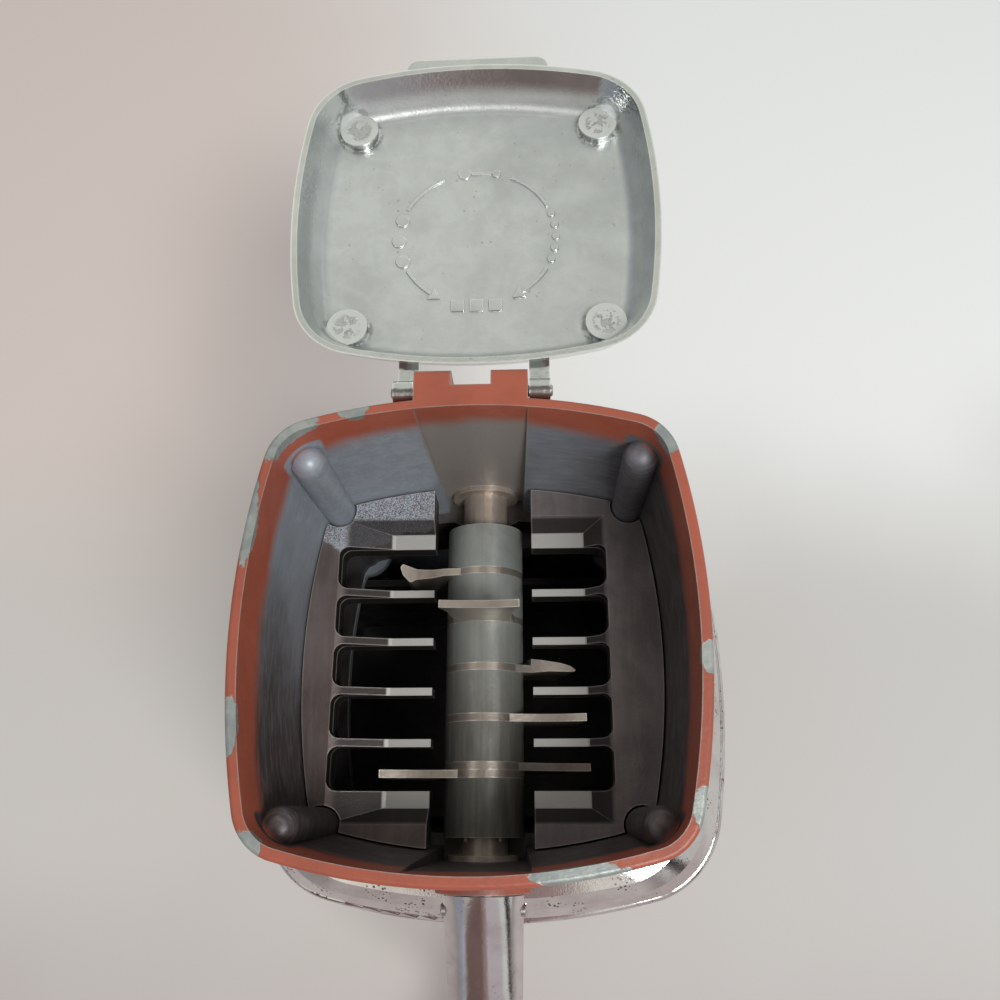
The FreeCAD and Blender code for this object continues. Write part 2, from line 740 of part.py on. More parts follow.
def lower_housing():
    """Body around the receiver, with a deck on top and screw posts inside."""
    outer = housing_prism(plate_top_z, shoulder_z, housing_inset)
    collar_inset = housing_inset + cover_wall + collar_gap
    neck = outline(lip_half_x - collar_inset, lip_half_y - collar_inset, housing_side_x, housing_side_y,
                   housing_corner - collar_corner, shoulder_z)
    collar = Part.Face(neck).extrude(V(0, 0, deck_top_z - shoulder_z))
    inner = housing_prism(plate_top_z - past, deck_z, housing_inset + housing_wall)
    inner_neck = outline(lip_half_x - collar_inset - housing_wall, lip_half_y - collar_inset - housing_wall,
                         housing_side_x, housing_side_y, housing_corner - 2.0 * collar_corner,
                         shoulder_z - step_drop)
    upper_room = Part.Face(inner_neck).extrude(V(0, 0, deck_z - shoulder_z + step_drop))
    room = housing_prism(plate_top_z - past, shoulder_z - step_drop, housing_inset + housing_wall)
    room = room.fuse(upper_room)
    hole = outline(deck_hole_half, deck_hole_half, side_radius_x, side_radius_y, corner_radius,
                   deck_z - past)
    hole = Part.Face(hole).extrude(V(0, 0, deck_thickness + 2.0 * past))
    keep = [rod_z(column_radius + column_land, deck_z - past, deck_top_z + past, x, y)
            for x, y in corners(rib_x, rib_y)]
    hole = hole.cut(keep[0].multiFuse(keep[1:]))
    posts = [rod_z(post_radius, plate_top_z, deck_z, x, y) for x, y in corners(post_x, post_y)]
    walls = outer.fuse(collar).cut(room)
    posts = posts[0].multiFuse(posts[1:]).common(inner.fuse(upper_room))
    body = fused(walls, posts).cut(hole)
    mouth = box(-lip_half_x - mouth_depth, -lip_half_x + mouth_depth, -opening_half_y, opening_half_y,
                tray_floor_z - tray_clearance, opening_top_z)
    holes = [rod_z(screw_radius + seat_gap, deck_z - past, deck_top_z + past, x, y)
             for x, y in corners(rib_x, rib_y)]
    holes += [rod_z(screw_radius + press_gap, plate_top_z - past, plate_top_z + screw_grip, x, y)
              for x, y in corners(post_x, post_y)]
    return body.cut(mouth.multiFuse(holes)).removeSplitter()


def receiver():
    """Ice tray with a curved front that closes the opening in the housing."""
    gap = tray_clearance
    half = opening_half_y - gap
    low = tray_floor_z
    high = opening_top_z - gap
    start = tray_front_x
    tray = rounded_box(start, tray_back_x, -half, half, low, high, front_corner, Z_AXIS)
    foot = rounded_box(start + tray_wall, tray_back_x - tray_wall, -half + tray_wall, half - tray_wall,
                       low + tray_wall, high + past, front_corner - tray_wall, Z_AXIS)
    front_low = low + front_lift
    front_high = opening_top_z + front_overlap
    skin = receiver_face().cut(housing_prism(front_low - past, front_high + past, housing_inset - seat_gap))
    edge = opening_half_y + front_overlap
    window = rounded_box(2.0 * start, 0.0, -edge, edge, front_low, front_high, front_corner, X_AXIS)
    front = skin.common(window)
    neck = box(2.0 * start, start + neck_run, -half + neck_margin, half - neck_margin, low + neck_floor,
               high - neck_top_drop)
    neck = neck.common(housing_prism(low, front_high, housing_inset - seat_gap - neck_inset))
    room_half = half - neck_margin - tray_wall
    room = foot.fuse(box(start - neck_top_drop, start + neck_run + tray_wall, -room_half, room_half,
                         low + tray_wall, high + past))
    body = fused(tray, neck, front).cut(room)
    holes = [rod_x(screw_radius + press_gap, 2.0 * start, start + neck_run, y, pull_z)
             for y in (-pull_half, pull_half)]
    return body.cut(holes[0].fuse(holes[1])).removeSplitter()


def receiver_face():
    """Solid bounded by the outer face of the receiver's front."""
    return housing_prism(tray_floor_z + front_lift, opening_top_z + front_overlap,
                         housing_inset - seat_gap - front_thickness)


def front_face_x(y, z):
    """X of the receiver's outer face at a place on its front."""
    narrowing = base_taper * (shoulder_z - z) / (shoulder_z - plate_top_z)
    half_x = lip_half_x - housing_inset + seat_gap + front_thickness - narrowing
    return -(half_x - housing_side_x + math.sqrt(housing_side_x ** 2 - y ** 2))


def receiver_pull():
    """Bright bow handle: a bent rod with two flat feet."""
    root = front_face_x(pull_half, pull_z)
    out = root - pull_reach
    bend = pull_bend
    k = bend * (1.0 - math.sqrt(0.5))
    points = [V(root + pull_root, -pull_half, pull_z), V(out + bend, -pull_half, pull_z),
              V(out + k, -pull_half + k, pull_z), V(out, -pull_half + bend, pull_z),
              V(out, pull_half - bend, pull_z), V(out + k, pull_half - k, pull_z),
              V(out + bend, pull_half, pull_z), V(root + pull_root, pull_half, pull_z)]
    path = Part.Wire([Part.makeLine(points[0], points[1]),
                      Part.Arc(points[1], points[2], points[3]).toShape(),
                      Part.makeLine(points[3], points[4]),
                      Part.Arc(points[4], points[5], points[6]).toShape(),
                      Part.makeLine(points[6], points[7])])
    profile = Part.Wire(Part.Circle(points[0], X_AXIS, pull_bar_radius).toShape())
    rod = path.makePipeShell([profile], True, True)
    feet = [rod_x(pull_bar_radius + pull_flange, root - pull_flange, root + pull_root, y, pull_z)
            for y in (-pull_half, pull_half)]
    holes = [rod_x(screw_radius + press_gap, root - pull_hole_depth, root + past, y, pull_z)
             for y in (-pull_half, pull_half)]
    return fused(rod, *feet).cut(receiver_face()).cut(holes[0].fuse(holes[1]))


def pull_screws():
    root = front_face_x(pull_half, pull_z)
    inner = tray_front_x - neck_top_drop
    screws = []
    for y in (-pull_half, pull_half):
        shank = rod_x(screw_radius, root - pull_hole_depth + hole_end_gap, inner + screw_head, y, pull_z)
        head = rod_x(screw_head_radius, inner, inner + screw_head, y, pull_z)
        screws.append(shank.fuse(head).removeSplitter())
    return Part.makeCompound(screws)


def base_plate():
    plate = housing_prism(foot_height, plate_top_z, housing_inset)
    runners = [box(runner_front_x, runner_back_x, s * runner_y - runner_half, s * runner_y + runner_half,
                   plate_top_z - runner_root, plate_top_z + runner_height) for s in (-1, 1)]
    holes = [rod_z(screw_radius + seat_gap, foot_height - past, plate_top_z + past, x, y)
             for x, y in corners(post_x, post_y)]
    return fused(plate, *runners).cut(holes[0].multiFuse(holes[1:]))


def foot_ring():
    """Rubber ring under the edge of the base plate, with sunk holes for the base screws."""
    edge = housing_inset + foot_setback
    ring = housing_prism(0.0, foot_height, edge)
    middle = Part.Face(housing_outline(-past, edge + foot_width)).extrude(V(0, 0, foot_height + 2.0 * past))
    holes = [rod_z(screw_radius + seat_gap, -past, foot_height + past, x, y)
             for x, y in corners(post_x, post_y)]
    holes += [rod_z(screw_head_radius + seat_gap, -past, foot_height - foot_land, x, y)
              for x, y in corners(post_x, post_y)]
    return ring.cut(middle.multiFuse(holes)).removeSplitter()


def screw(x, y, seat_z, tip_z):
    """Round-headed screw that points up, with a cross slot in its head."""
    head = rod_z(screw_head_radius, seat_z - screw_head, seat_z, x, y)
    head = head.makeFillet(screw_head_round, edges_at(head, seat_z - screw_head))
    shank = rod_z(screw_radius, seat_z, tip_z, x, y)
    slot = box(x - screw_slot_half, x + screw_slot_half, y - screw_slot_side, y + screw_slot_side,
               seat_z - screw_head, seat_z - screw_head + screw_slot_depth)
    return head.fuse(shank).removeSplitter().cut(slot)


def body_screws():
    return Part.makeCompound([screw(x, y, deck_z, parting_z + screw_grip)
                              for x, y in corners(rib_x, rib_y)])


def base_screws():
    seat = foot_height - foot_land
    return Part.makeCompound([screw(x, y, seat, plate_top_z + screw_grip - hole_end_gap)
                              for x, y in corners(post_x, post_y)])


def arm_path(distance):
    """Point and downward slope, in degrees, of the crank arm's back face at a distance from its root."""
    start_y = -boss_face_y - hub_back_gap
    start_z = shaft_z - arm_root_drop
    slope = math.radians(arm_root_slope)
    if distance <= arm_root_length:
        return start_y - distance * math.cos(slope), start_z - distance * math.sin(slope), arm_root_slope
    y = start_y - arm_root_length * math.cos(slope)
    z = start_z - arm_root_length * math.sin(slope)
    end = math.radians(arm_end_slope)
    bend_length = arm_bend_radius * (end - slope)
    along = min(distance - arm_root_length, bend_length)
    turned = slope + along / arm_bend_radius
    y -= arm_bend_radius * (math.sin(turned) - math.sin(slope))
    z -= arm_bend_radius * (math.cos(slope) - math.cos(turned))
    rest = distance - arm_root_length - along
    y -= rest * math.cos(end)
    z -= rest * math.sin(end)
    return y, z, math.degrees(turned)


def arm_length():
    """Length along the arm at which its end is one crank radius below the shaft."""
    bend_end = arm_root_length + arm_bend_radius * math.radians(arm_end_slope - arm_root_slope)
    z = arm_path(bend_end)[1]
    return bend_end + (z - (shaft_z - crank_radius)) / math.sin(math.radians(arm_end_slope))


def crank_arm():
    """Bright arm with a crowned outer face, swept forward and down from its hub to the knob's eye."""
    total = arm_length()
    places = [-arm_root_run] + [total * step / (arm_stations - 1.0) for step in range(arm_stations)]
    sections = []
    for place in places:
        share = max(0.0, place / total)
        y, z, slope = arm_path(place)
        half = arm_half_width + (arm_end_half - arm_half_width) * share
        crown = arm_crown + (arm_end_crown - arm_crown) * min(1.0, 2.0 * share)
        angle = math.radians(slope)
        out = V(0, -math.sin(angle), math.cos(angle))
        base = V(0, y, z)
        left, right = base + V(-half, 0, 0), base + V(half, 0, 0)
        top_left, top_right = left + out * (crown * arm_edge_share), right + out * (crown * arm_edge_share)
        sections.append(Part.Wire([Part.makeLine(left, right), Part.makeLine(right, top_right),
                                   Part.Arc(top_right, base + out * crown, top_left).toShape(),
                                   Part.makeLine(top_left, left)]))
    bar = Part.makeLoft(sections, True, False)
    hub_y = -boss_face_y - hub_back_gap
    hub = rod_y(hub_radius, hub_y - drive_length - hub_end_wall, hub_y)
    hub = hub.common(box(-hub_radius, hub_radius, hub_y - arm_root_length, hub_y, 0.0, shaft_z))
    eye_y, eye_z, _ = arm_path(total)
    eye = rod_y(eye_radius, eye_y - eye_thickness, eye_y + eye_root, 0.0, eye_z)
    behind = box(-arm_root_length, arm_root_length, hub_y, hub_y + arm_root_length,
                 shaft_z - arm_root_length, shaft_z + arm_root_length)
    bore = rod_y(drive_radius + press_gap, hub_y - drive_length - bore_end_gap, hub_y + past)
    flat = box(-drive_radius - past, drive_radius + past, hub_y - drive_length - past, hub_y + past,
               shaft_z + drive_flat + press_gap, shaft_z + drive_radius + past)
    cross = rod_x(hub_pin_radius + press_gap, -arm_root_length, arm_root_length,
                  hub_y - drive_length / 2.0, shaft_z)
    knob_hole = rod_y(knob_pin_radius + press_gap, eye_y - knob_length, eye_y + knob_length, 0.0, eye_z)
    arm = fused(bar, hub, eye).cut(behind)
    return arm.cut(bore.cut(flat)).cut(cross).cut(knob_hole).removeSplitter()


def hub_pin():
    """Cross pin that locks the crank to the shaft."""
    y = -boss_face_y - hub_back_gap - drive_length / 2.0
    reach = arm_half_width + hinge_pin_end
    pin = rod_x(hub_pin_radius, -reach, reach, y, shaft_z)
    return pin.makeChamfer(pin_chamfer, [e for e in pin.Edges if e.BoundBox.XLength < 0.01])


def knob_place():
    y, z, _ = arm_path(arm_length())
    return y - eye_thickness, z


def crank_knob():
    """Pear-shaped grip that turns on its own pin."""
    start, z = knob_place()
    start -= seat_gap
    end = start - knob_length
    bore = knob_pin_radius + running_gap
    points = [V(bore, start, z), V(knob_neck_radius, start, z)]
    neck = V(knob_waist_radius, start - knob_shares[0] * knob_length, z)
    swell = V(knob_swell_radius, start - knob_shares[1] * knob_length, z)
    belly = V(knob_radius, start - knob_shares[2] * knob_length, z)
    brow = V(knob_brow_radius, start - knob_shares[3] * knob_length, z)
    nose = V(knob_nose_radius, end, z)
    curve = Part.BSplineCurve()
    curve.interpolate([points[1], neck, swell, belly, brow, nose])
    profile = Part.Wire([Part.makeLine(points[0], points[1]), curve.toShape(),
                         Part.makeLine(nose, V(bore, end, z)), Part.makeLine(V(bore, end, z), points[0])])
    knob = Part.Face(profile).revolve(V(0, start, z), Y_AXIS, 360.0)
    sink = rod_y(knob_pin_head_radius + seat_gap, end - past, end + knob_pin_head + seat_gap, 0.0, z)
    return knob.cut(sink)


def knob_pin():
    """Headed pin, riveted in the arm's eye."""
    start, z = knob_place()
    end = start - seat_gap - knob_length
    inner = start + eye_thickness + knob_pin_rivet
    head = rod_y(knob_pin_head_radius, end, end + knob_pin_head, 0.0, z)
    rim = [e for e in head.Edges if abs(e.BoundBox.YMax - end) < 0.01]
    head = head.makeFillet(knob_pin_head_round, rim)
    return rod_y(knob_pin_radius, end + knob_pin_head_round, inner, 0.0, z).fuse(head).removeSplitter()


def build():
    nodes = {
        "hopper": hopper(),
        "hinge_pin": hinge_pin(),
        "lid": lid(),
        "grate_coarse": grate(-1, coarse_bar_x, coarse_flat_x),
        "grate_fine": grate(1, fine_bar_x, fine_flat_x),
        "mill_frame": mill_frame(),
        "bush_front": bush(-1),
        "bush_rear": bush(1),
        "crank_shaft": crank_shaft(),
        "blade_spacers": spacers(),
        "shoulder_cover": shoulder_cover(),
        "lower_housing": lower_housing(),
        "body_screws": body_screws(),
        "base_plate": base_plate(),
        "foot_ring": foot_ring(),
        "base_screws": base_screws(),
        "receiver": receiver(),
        "receiver_pull": receiver_pull(),
        "pull_screws": pull_screws(),
        "crank_arm": crank_arm(),
        "hub_pin": hub_pin(),
        "crank_knob": crank_knob(),
        "knob_pin": knob_pin(),
    }
    for number in range(len(blade_angles)):
        nodes["ice_blade_%d" % (number + 1)] = blade(number)
    return nodes


os.makedirs("parts", exist_ok=True)
for name, shape in build().items():
    shape.exportStep("parts/%s.step" % name)
    size = shape.BoundBox
    print("%-16s solids %2d valid %s volume %9.1f  x %.1f..%.1f y %.1f..%.1f z %.1f..%.1f" % (
        name, len(shape.Solids), shape.isValid(), shape.Volume,
        size.XMin, size.XMax, size.YMin, size.YMax, size.ZMin, size.ZMax))
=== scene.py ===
# %% [markdown]
# A hand crank ice crusher, seen from above with its lid thrown open.
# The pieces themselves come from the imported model. This lesson gives them their finishes,
# adds the raised marks inside the lid, and sets up the camera, the floor and the light.

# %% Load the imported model
import bmesh
import bpy
import math
from mathutils import Matrix, Vector


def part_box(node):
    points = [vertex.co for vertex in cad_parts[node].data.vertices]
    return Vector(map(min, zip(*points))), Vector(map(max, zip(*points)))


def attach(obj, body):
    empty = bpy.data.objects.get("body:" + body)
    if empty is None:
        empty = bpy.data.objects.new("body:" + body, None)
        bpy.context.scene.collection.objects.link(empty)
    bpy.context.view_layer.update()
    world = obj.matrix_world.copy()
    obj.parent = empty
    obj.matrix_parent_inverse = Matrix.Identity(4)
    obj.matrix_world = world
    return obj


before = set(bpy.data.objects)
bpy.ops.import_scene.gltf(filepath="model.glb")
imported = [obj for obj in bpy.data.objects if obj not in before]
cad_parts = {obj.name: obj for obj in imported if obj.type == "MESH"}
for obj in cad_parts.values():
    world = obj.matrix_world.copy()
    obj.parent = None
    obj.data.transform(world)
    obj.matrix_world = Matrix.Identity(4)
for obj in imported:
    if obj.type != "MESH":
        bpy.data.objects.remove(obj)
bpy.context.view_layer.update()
rim_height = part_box("hopper")[1].z
print("rim height:", round(rim_height, 4))

# %% [markdown]
# The photograph was taken by hand from just above the open mouth, a little towards the crank.
# A camera this near makes the lid, which lies lower, look smaller than the mouth.
# The camera could be turned with three angles, but a place, a point to look at and the
# direction that is up in the picture are easier to read and to change.

# %% Camera
camera_place = Vector((0.01536, -0.03971, rim_height + 0.18845))
camera_target = Vector((0.00694, 0.02700, rim_height))
picture_up = Vector((0.0, 1.0, 0.0))

camera_data = bpy.data.cameras.new("camera")
camera_data.sensor_width = 36.0
camera_data.lens = 32.4
camera_data.clip_start = 0.01
camera = bpy.data.objects.new("camera", camera_data)
bpy.context.scene.collection.objects.link(camera)
forward = (camera_target - camera_place).normalized()
right = forward.cross(picture_up).normalized()
up = right.cross(forward)
camera.matrix_world = Matrix((
    (right.x, up.x, -forward.x, camera_place.x),
    (right.y, up.y, -forward.y, camera_place.y),
    (right.z, up.z, -forward.z, camera_place.z),
    (0.0, 0.0, 0.0, 1.0)))
bpy.context.scene.camera = camera
bpy.context.view_layer.update()
print("camera looks down by", round(math.degrees(math.asin(-forward.z)), 1), "degrees")

# %% [markdown]
# Every material below is a small web of nodes. Writing each link by hand would bury the
# recipe under bookkeeping, so short helpers do it. One adds a node and fills its inputs, one
# turns a range of values into a mask, some do sums, two blend, and one reads colours.

# %% Helpers that add nodes
def add_node(tree, kind, inputs=None, **settings):
    node = tree.nodes.new(kind)
    for name, value in settings.items():
        setattr(node, name, value)
    for name, value in (inputs or {}).items():
        if isinstance(value, bpy.types.NodeSocket):
            tree.links.new(value, node.inputs[name])
        else:
            node.inputs[name].default_value = value
    return node


def mask_between(tree, value, low, high):
    """A soft mask: 0 where value is at low, 1 where it is at high."""
    inputs = {"Value": value, "From Min": low, "From Max": high}
    node = add_node(tree, "ShaderNodeMapRange", inputs, interpolation_type="SMOOTHSTEP")
    return node.outputs["Result"]


def sum_of(tree, operation, first, second=0.0):
    node = add_node(tree, "ShaderNodeMath", {0: first, 1: second}, operation=operation)
    return node.outputs[0]


def product(tree, first, second):
    return sum_of(tree, "MULTIPLY", first, second)


def vector_sum(tree, operation, first, second=None):
    """A sum with vectors. The caller picks "Vector" or "Value" from its outputs."""
    inputs = {0: first} if second is None else {0: first, 1: second}
    return add_node(tree, "ShaderNodeVectorMath", inputs, operation=operation).outputs


def axes_of(tree, vector):
    return add_node(tree, "ShaderNodeSeparateXYZ", {0: vector}).outputs


def object_place(tree):
    return add_node(tree, "ShaderNodeTexCoord").outputs["Object"]


def noise(tree, place, scale, **more):
    """A noise between 0 and 1. More of its inputs go by name, such as Detail=4.0."""
    inputs = {"Vector": place, "Scale": scale, **more}
    return add_node(tree, "ShaderNodeTexNoise", inputs).outputs["Fac"]


def blend_colour(tree, mask, first, second):
    node = add_node(tree, "ShaderNodeMix", {0: mask, 6: first, 7: second}, data_type="RGBA")
    return node.outputs[2]


def blend_value(tree, mask, first, second):
    node = add_node(tree, "ShaderNodeMix", {0: mask, 2: first, 3: second}, data_type="FLOAT")
    return node.outputs[0]


def paint_colour(red, green, blue):
    """A colour as a painter would read it from a screen, 0 to 255, as Blender's own values."""
    def one(level):
        level = level / 255.0
        return level / 12.92 if level <= 0.04045 else ((level + 0.055) / 1.055) ** 2.4
    return (one(red), one(green), one(blue), 1.0)


print("white reads as", paint_colour(255, 255, 255)[:3])

# %% [markdown]
# Real metal is never one even tone: casting, hands and ice leave cloudy patches.
# A mix of two noises of different sizes looks less regular than one noise.
# Several finishes need this, so it is a node group with its own inputs.

# %% Shared effect: cloudy patches
def new_group(name, inputs, outputs):
    group = bpy.data.node_groups.new(name, "ShaderNodeTree")
    for socket, kind, default in inputs:
        made = group.interface.new_socket(socket, in_out="INPUT", socket_type=kind)
        made.default_value = default
    for socket, kind in outputs:
        group.interface.new_socket(socket, in_out="OUTPUT", socket_type=kind)
    source = group.nodes.new("NodeGroupInput")
    result = group.nodes.new("NodeGroupOutput")
    return group, source.outputs, result.inputs


def use_group(tree, group, inputs):
    return add_node(tree, "ShaderNodeGroup", inputs, node_tree=group).outputs


clouds, given, result = new_group(
    "cloudy patches",
    [("Scale", "NodeSocketFloat", 60.0), ("Contrast", "NodeSocketFloat", 0.5)],
    [("Patches", "NodeSocketFloat")])
place = object_place(clouds)
fine_scale = product(clouds, given["Scale"], 3.7)
broad = noise(clouds, place, given["Scale"], Detail=4.0, Roughness=0.6, Distortion=0.8)
fine = noise(clouds, place, fine_scale, Detail=5.0, Roughness=0.65)
both = blend_value(clouds, 0.35, broad, fine)
half_contrast = product(clouds, given["Contrast"], 0.16)
low_edge = sum_of(clouds, "ADD", 0.38, half_contrast)
high_edge = sum_of(clouds, "SUBTRACT", 0.62, half_contrast)
clouds.links.new(mask_between(clouds, both, low_edge, high_edge), result["Patches"])
print("group made:", clouds.name)


def cloud_mask(tree, scale, contrast=0.0):
    return use_group(tree, clouds, {"Scale": scale, "Contrast": contrast})["Patches"]


# %% [markdown]
# Paint and plating wear first where two faces meet. Comparing the true normal with one
# rounded off by the Bevel node finds those edges, and noise breaks the line into chips.

# %% Shared effect: worn edges
edges, given, result = new_group(
    "worn edges",
    [("Width", "NodeSocketFloat", 0.001), ("Reach", "NodeSocketFloat", 0.5),
     ("Chip Scale", "NodeSocketFloat", 400.0)],
    [("Mask", "NodeSocketFloat")])
rounded = add_node(edges, "ShaderNodeBevel", {"Radius": given["Width"]}, samples=6)
true_normal = add_node(edges, "ShaderNodeNewGeometry").outputs["Normal"]
agreement = vector_sum(edges, "DOT_PRODUCT", rounded.outputs[0], true_normal)["Value"]
turn = sum_of(edges, "SUBTRACT", 1.0, agreement)
turn = product(edges, turn, 6.0)
chips = noise(edges, object_place(edges), given["Chip Scale"], Detail=6.0, Roughness=0.7)
worn = sum_of(edges, "ADD", turn, sum_of(edges, "SUBTRACT", chips, 1.0))
worn = sum_of(edges, "ADD", worn, given["Reach"])
edges.links.new(mask_between(edges, worn, 0.48, 0.62), result["Mask"])
print("group made:", edges.name)


def edge_mask(tree, width, reach, chip_scale):
    inputs = {"Width": width, "Reach": reach, "Chip Scale": chip_scale}
    return use_group(tree, edges, inputs)["Mask"]


# %% [markdown]
# A cast or plated skin has a fine relief that catches the light: grain all over and a few
# pits. The group puts out a height for a Bump node and a mask of the pits for the colour.

# %% Shared effect: grain and pits
grain, given, result = new_group(
    "grain and pits",
    [("Grain Scale", "NodeSocketFloat", 1500.0), ("Pit Scale", "NodeSocketFloat", 500.0),
     ("Pit Size", "NodeSocketFloat", 0.15)],
    [("Height", "NodeSocketFloat"), ("Pits", "NodeSocketFloat")])
place = object_place(grain)
skin = noise(grain, place, given["Grain Scale"], Detail=3.0)
cells = add_node(grain, "ShaderNodeTexVoronoi", {"Vector": place, "Scale": given["Pit Scale"]})
scatter = noise(grain, place, 130.0, Detail=2.0)
pit_size = product(grain, given["Pit Size"],
                  mask_between(grain, scatter, 0.45, 0.65))
pits = sum_of(grain, "LESS_THAN", cells.outputs["Distance"], pit_size)
height = sum_of(grain, "SUBTRACT", skin, pits)
grain.links.new(height, result["Height"])
grain.links.new(pits, result["Pits"])
print("group made:", grain.name)


def skin_of(tree, grain_scale, pit_scale, pit_size):
    inputs = {"Grain Scale": grain_scale, "Pit Scale": pit_scale, "Pit Size": pit_size}
    return use_group(tree, grain, inputs)


# %% [markdown]
# Ice and fingers drag thin lines over metal. A noise squeezed hard along one direction
# gives lines, and the stretch chooses their direction for each piece.

# %% Shared effect: drag lines
drag, given, result = new_group(
    "drag lines",
    [("Stretch", "NodeSocketVector", (40.0, 40.0, 1200.0))],
    [("Lines", "NodeSocketFloat")])
stretched = vector_sum(drag, "MULTIPLY", object_place(drag), given["Stretch"])["Vector"]
lines = noise(drag, stretched, 1.0, Detail=4.0, Roughness=0.6)
drag.links.new(mask_between(drag, lines, 0.42, 0.68), result["Lines"])
print("group made:", drag.name)


def drag_mask(tree, stretch):
    return use_group(tree, drag, {"Stretch": stretch})["Lines"]


# %% [markdown]
# Some wear is in one place only, such as the corner of the rim that ice is poured over.
# This mask is a soft ellipsoid round a place, with a ragged border.

# %% Shared effect: a ragged patch at one place
patch, given, result = new_group(
    "ragged patch",
    [("Centre", "NodeSocketVector", (0.0, 0.0, 0.0)),
     ("Size", "NodeSocketVector", (0.01, 0.01, 0.01)),
     ("Ragged Scale", "NodeSocketFloat", 350.0)],
    [("Mask", "NodeSocketFloat")])
offset = vector_sum(patch, "SUBTRACT", object_place(patch), given["Centre"])["Vector"]
offset = vector_sum(patch, "DIVIDE", offset, given["Size"])["Vector"]
distance = vector_sum(patch, "LENGTH", offset)["Value"]
ragged = noise(patch, object_place(patch), given["Ragged Scale"], Detail=4.0, Roughness=0.6)
border = sum_of(patch, "ADD", distance, product(patch, ragged, 0.9))
patch.links.new(mask_between(patch, border, 1.5, 1.4), result["Mask"])
print("group made:", patch.name)


def patch_mask(tree, centre, size, ragged_scale=350.0):
    inputs = {"Centre": centre, "Size": size, "Ragged Scale": ragged_scale}
    return use_group(tree, patch, inputs)["Mask"]


# %% [markdown]
# Each material ends the same way: colour, roughness, metal and a bump go into one
# Principled shader. Only what changes over the surface is linked. Fixed numbers, such as
# a coat or a sheen, are set straight on the shader's own sockets.

# %% Helper that finishes a material
def start_material(name):
    material = bpy.data.materials.new(name)
    material.use_nodes = True
    material.node_tree.nodes.clear()
    return material, material.node_tree


def finish_material(tree, colour, roughness, metal, height, bump_depth, **fixed):
    bump = add_node(tree, "ShaderNodeBump",
                    {"Height": height, "Distance": bump_depth, "Strength": 1.0})
    shader = add_node(tree, "ShaderNodeBsdfPrincipled",
                      {"Base Color": colour, "Roughness": roughness, "Metallic": metal,
                       "Normal": bump.outputs["Normal"]})
    for name, value in fixed.items():
        shader.inputs[name.replace("_", " ")].default_value = value
    add_node(tree, "ShaderNodeOutputMaterial", {"Surface": shader.outputs[0]})


def dress(material, *names):
    """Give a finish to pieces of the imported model."""
    for name in names:
        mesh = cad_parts[name].data
        mesh.materials.clear()
        mesh.materials.append(material)
    print(material.name, "->", ", ".join(names))


# %% [markdown]
# Paint and polish lie on some sides of a casting only. Two helpers tell the sides apart:
# one says how far a face looks away from an upright line, and one measures from above how
# far a point is from the nearest of four places that mirror one another.

# %% Helpers that find places on a casting
from_above = (1.0, 1.0, 0.0)


def outward_look(tree, middle):
    """1 where a face looks away from the upright line through middle, -1 where it looks at it."""
    facing = add_node(tree, "ShaderNodeTexCoord").outputs["Normal"]
    away = vector_sum(tree, "SUBTRACT", object_place(tree), middle)["Vector"]
    level = vector_sum(tree, "MULTIPLY", away, from_above)["Vector"]
    outward = vector_sum(tree, "NORMALIZE", level)["Vector"]
    return vector_sum(tree, "DOT_PRODUCT", facing, outward)["Value"]


def mirrored_distance(tree, middle, corner):
    """Folding the place about middle onto one corner finds all four corners at once."""
    away = vector_sum(tree, "SUBTRACT", object_place(tree), middle)["Vector"]
    folded = vector_sum(tree, "ABSOLUTE", away)["Vector"]
    level = vector_sum(tree, "MULTIPLY", folded, from_above)["Vector"]
    return vector_sum(tree, "DISTANCE", level, corner)["Value"]


print("seen from above, a place keeps", from_above)

# %% [markdown]
# The hopper is a zinc casting painted brick red outside, over the rim and a little way
# down inside, where the spray stopped. Below that the bare metal is dragged by ice; painted
# shade makes it dark in front and painted light makes it pale blue at the back left. A face
# that looks back at the middle is inside. The rim is chipped where cubes are poured in.

# %% Painted casting
brick_red = paint_colour(166, 87, 65)
brick_dark = paint_colour(153, 79, 59)
bare_zinc = paint_colour(166, 171, 166)
dull_zinc = paint_colour(140, 146, 143)
# Painted light and painted shade on the bare metal inside: pale blue at the back left, dark in
# front.
lit_back_metal = paint_colour(148, 155, 163)
shaded_front_metal = paint_colour(68, 58, 57)
panel_metal = paint_colour(152, 146, 140)
ice_scuff = paint_colour(196, 204, 212)
hopper_middle = (0.0, 0.0, 0.0)
rib_centre = (0.0400, 0.0414, 0.0)
rib_radius = 0.0050
rib_border = 0.0008
rib_top = rim_height - 0.0072
rib_fade = 0.0006
panel_half_width = 0.0130
panel_front = 0.0480
spray_fade = 0.0072
spray_raggedness = 0.006
spray_slope = 0.12
chip_height = 0.003
cast_bump = 0.00010
ice_landing = (-0.0300, 0.0480, rim_height - 0.026)
ice_landing_size = (0.0300, 0.0200, 0.0200)
# Each worn patch of the rim: its X and Y, then how far it reaches along X and Y.
rim_wear = {
    "front": ((0.0232, -0.0503), (0.0105, 0.0026)),
    "back left corner": ((-0.0428, 0.0442), (0.0078, 0.0070)),
    "left side behind": ((-0.0497, 0.0250), (0.0024, 0.0115)),
    "back left": ((-0.0273, 0.0500), (0.0038, 0.0026)),
    "left side in front": ((-0.0497, -0.0220), (0.0022, 0.0064)),
    "front left corner": ((-0.0434, -0.0449), (0.0030, 0.0030)),
    "back right corner": ((0.0450, 0.0416), (0.0030, 0.0042)),
    "right side": ((0.0506, -0.0081), (0.0022, 0.0034)),
    "front right corner": ((0.0475, -0.0380), (0.0026, 0.0044)),
}


def near_ribs(tree, height):
    """Mask of the four screw ribs, up to their heads."""
    away = mirrored_distance(tree, hopper_middle, rib_centre)
    low_enough = mask_between(tree, height, rib_top + rib_fade, rib_top)
    close_enough = mask_between(tree, away, rib_radius + rib_border, rib_radius)
    return product(tree, close_enough, low_enough)


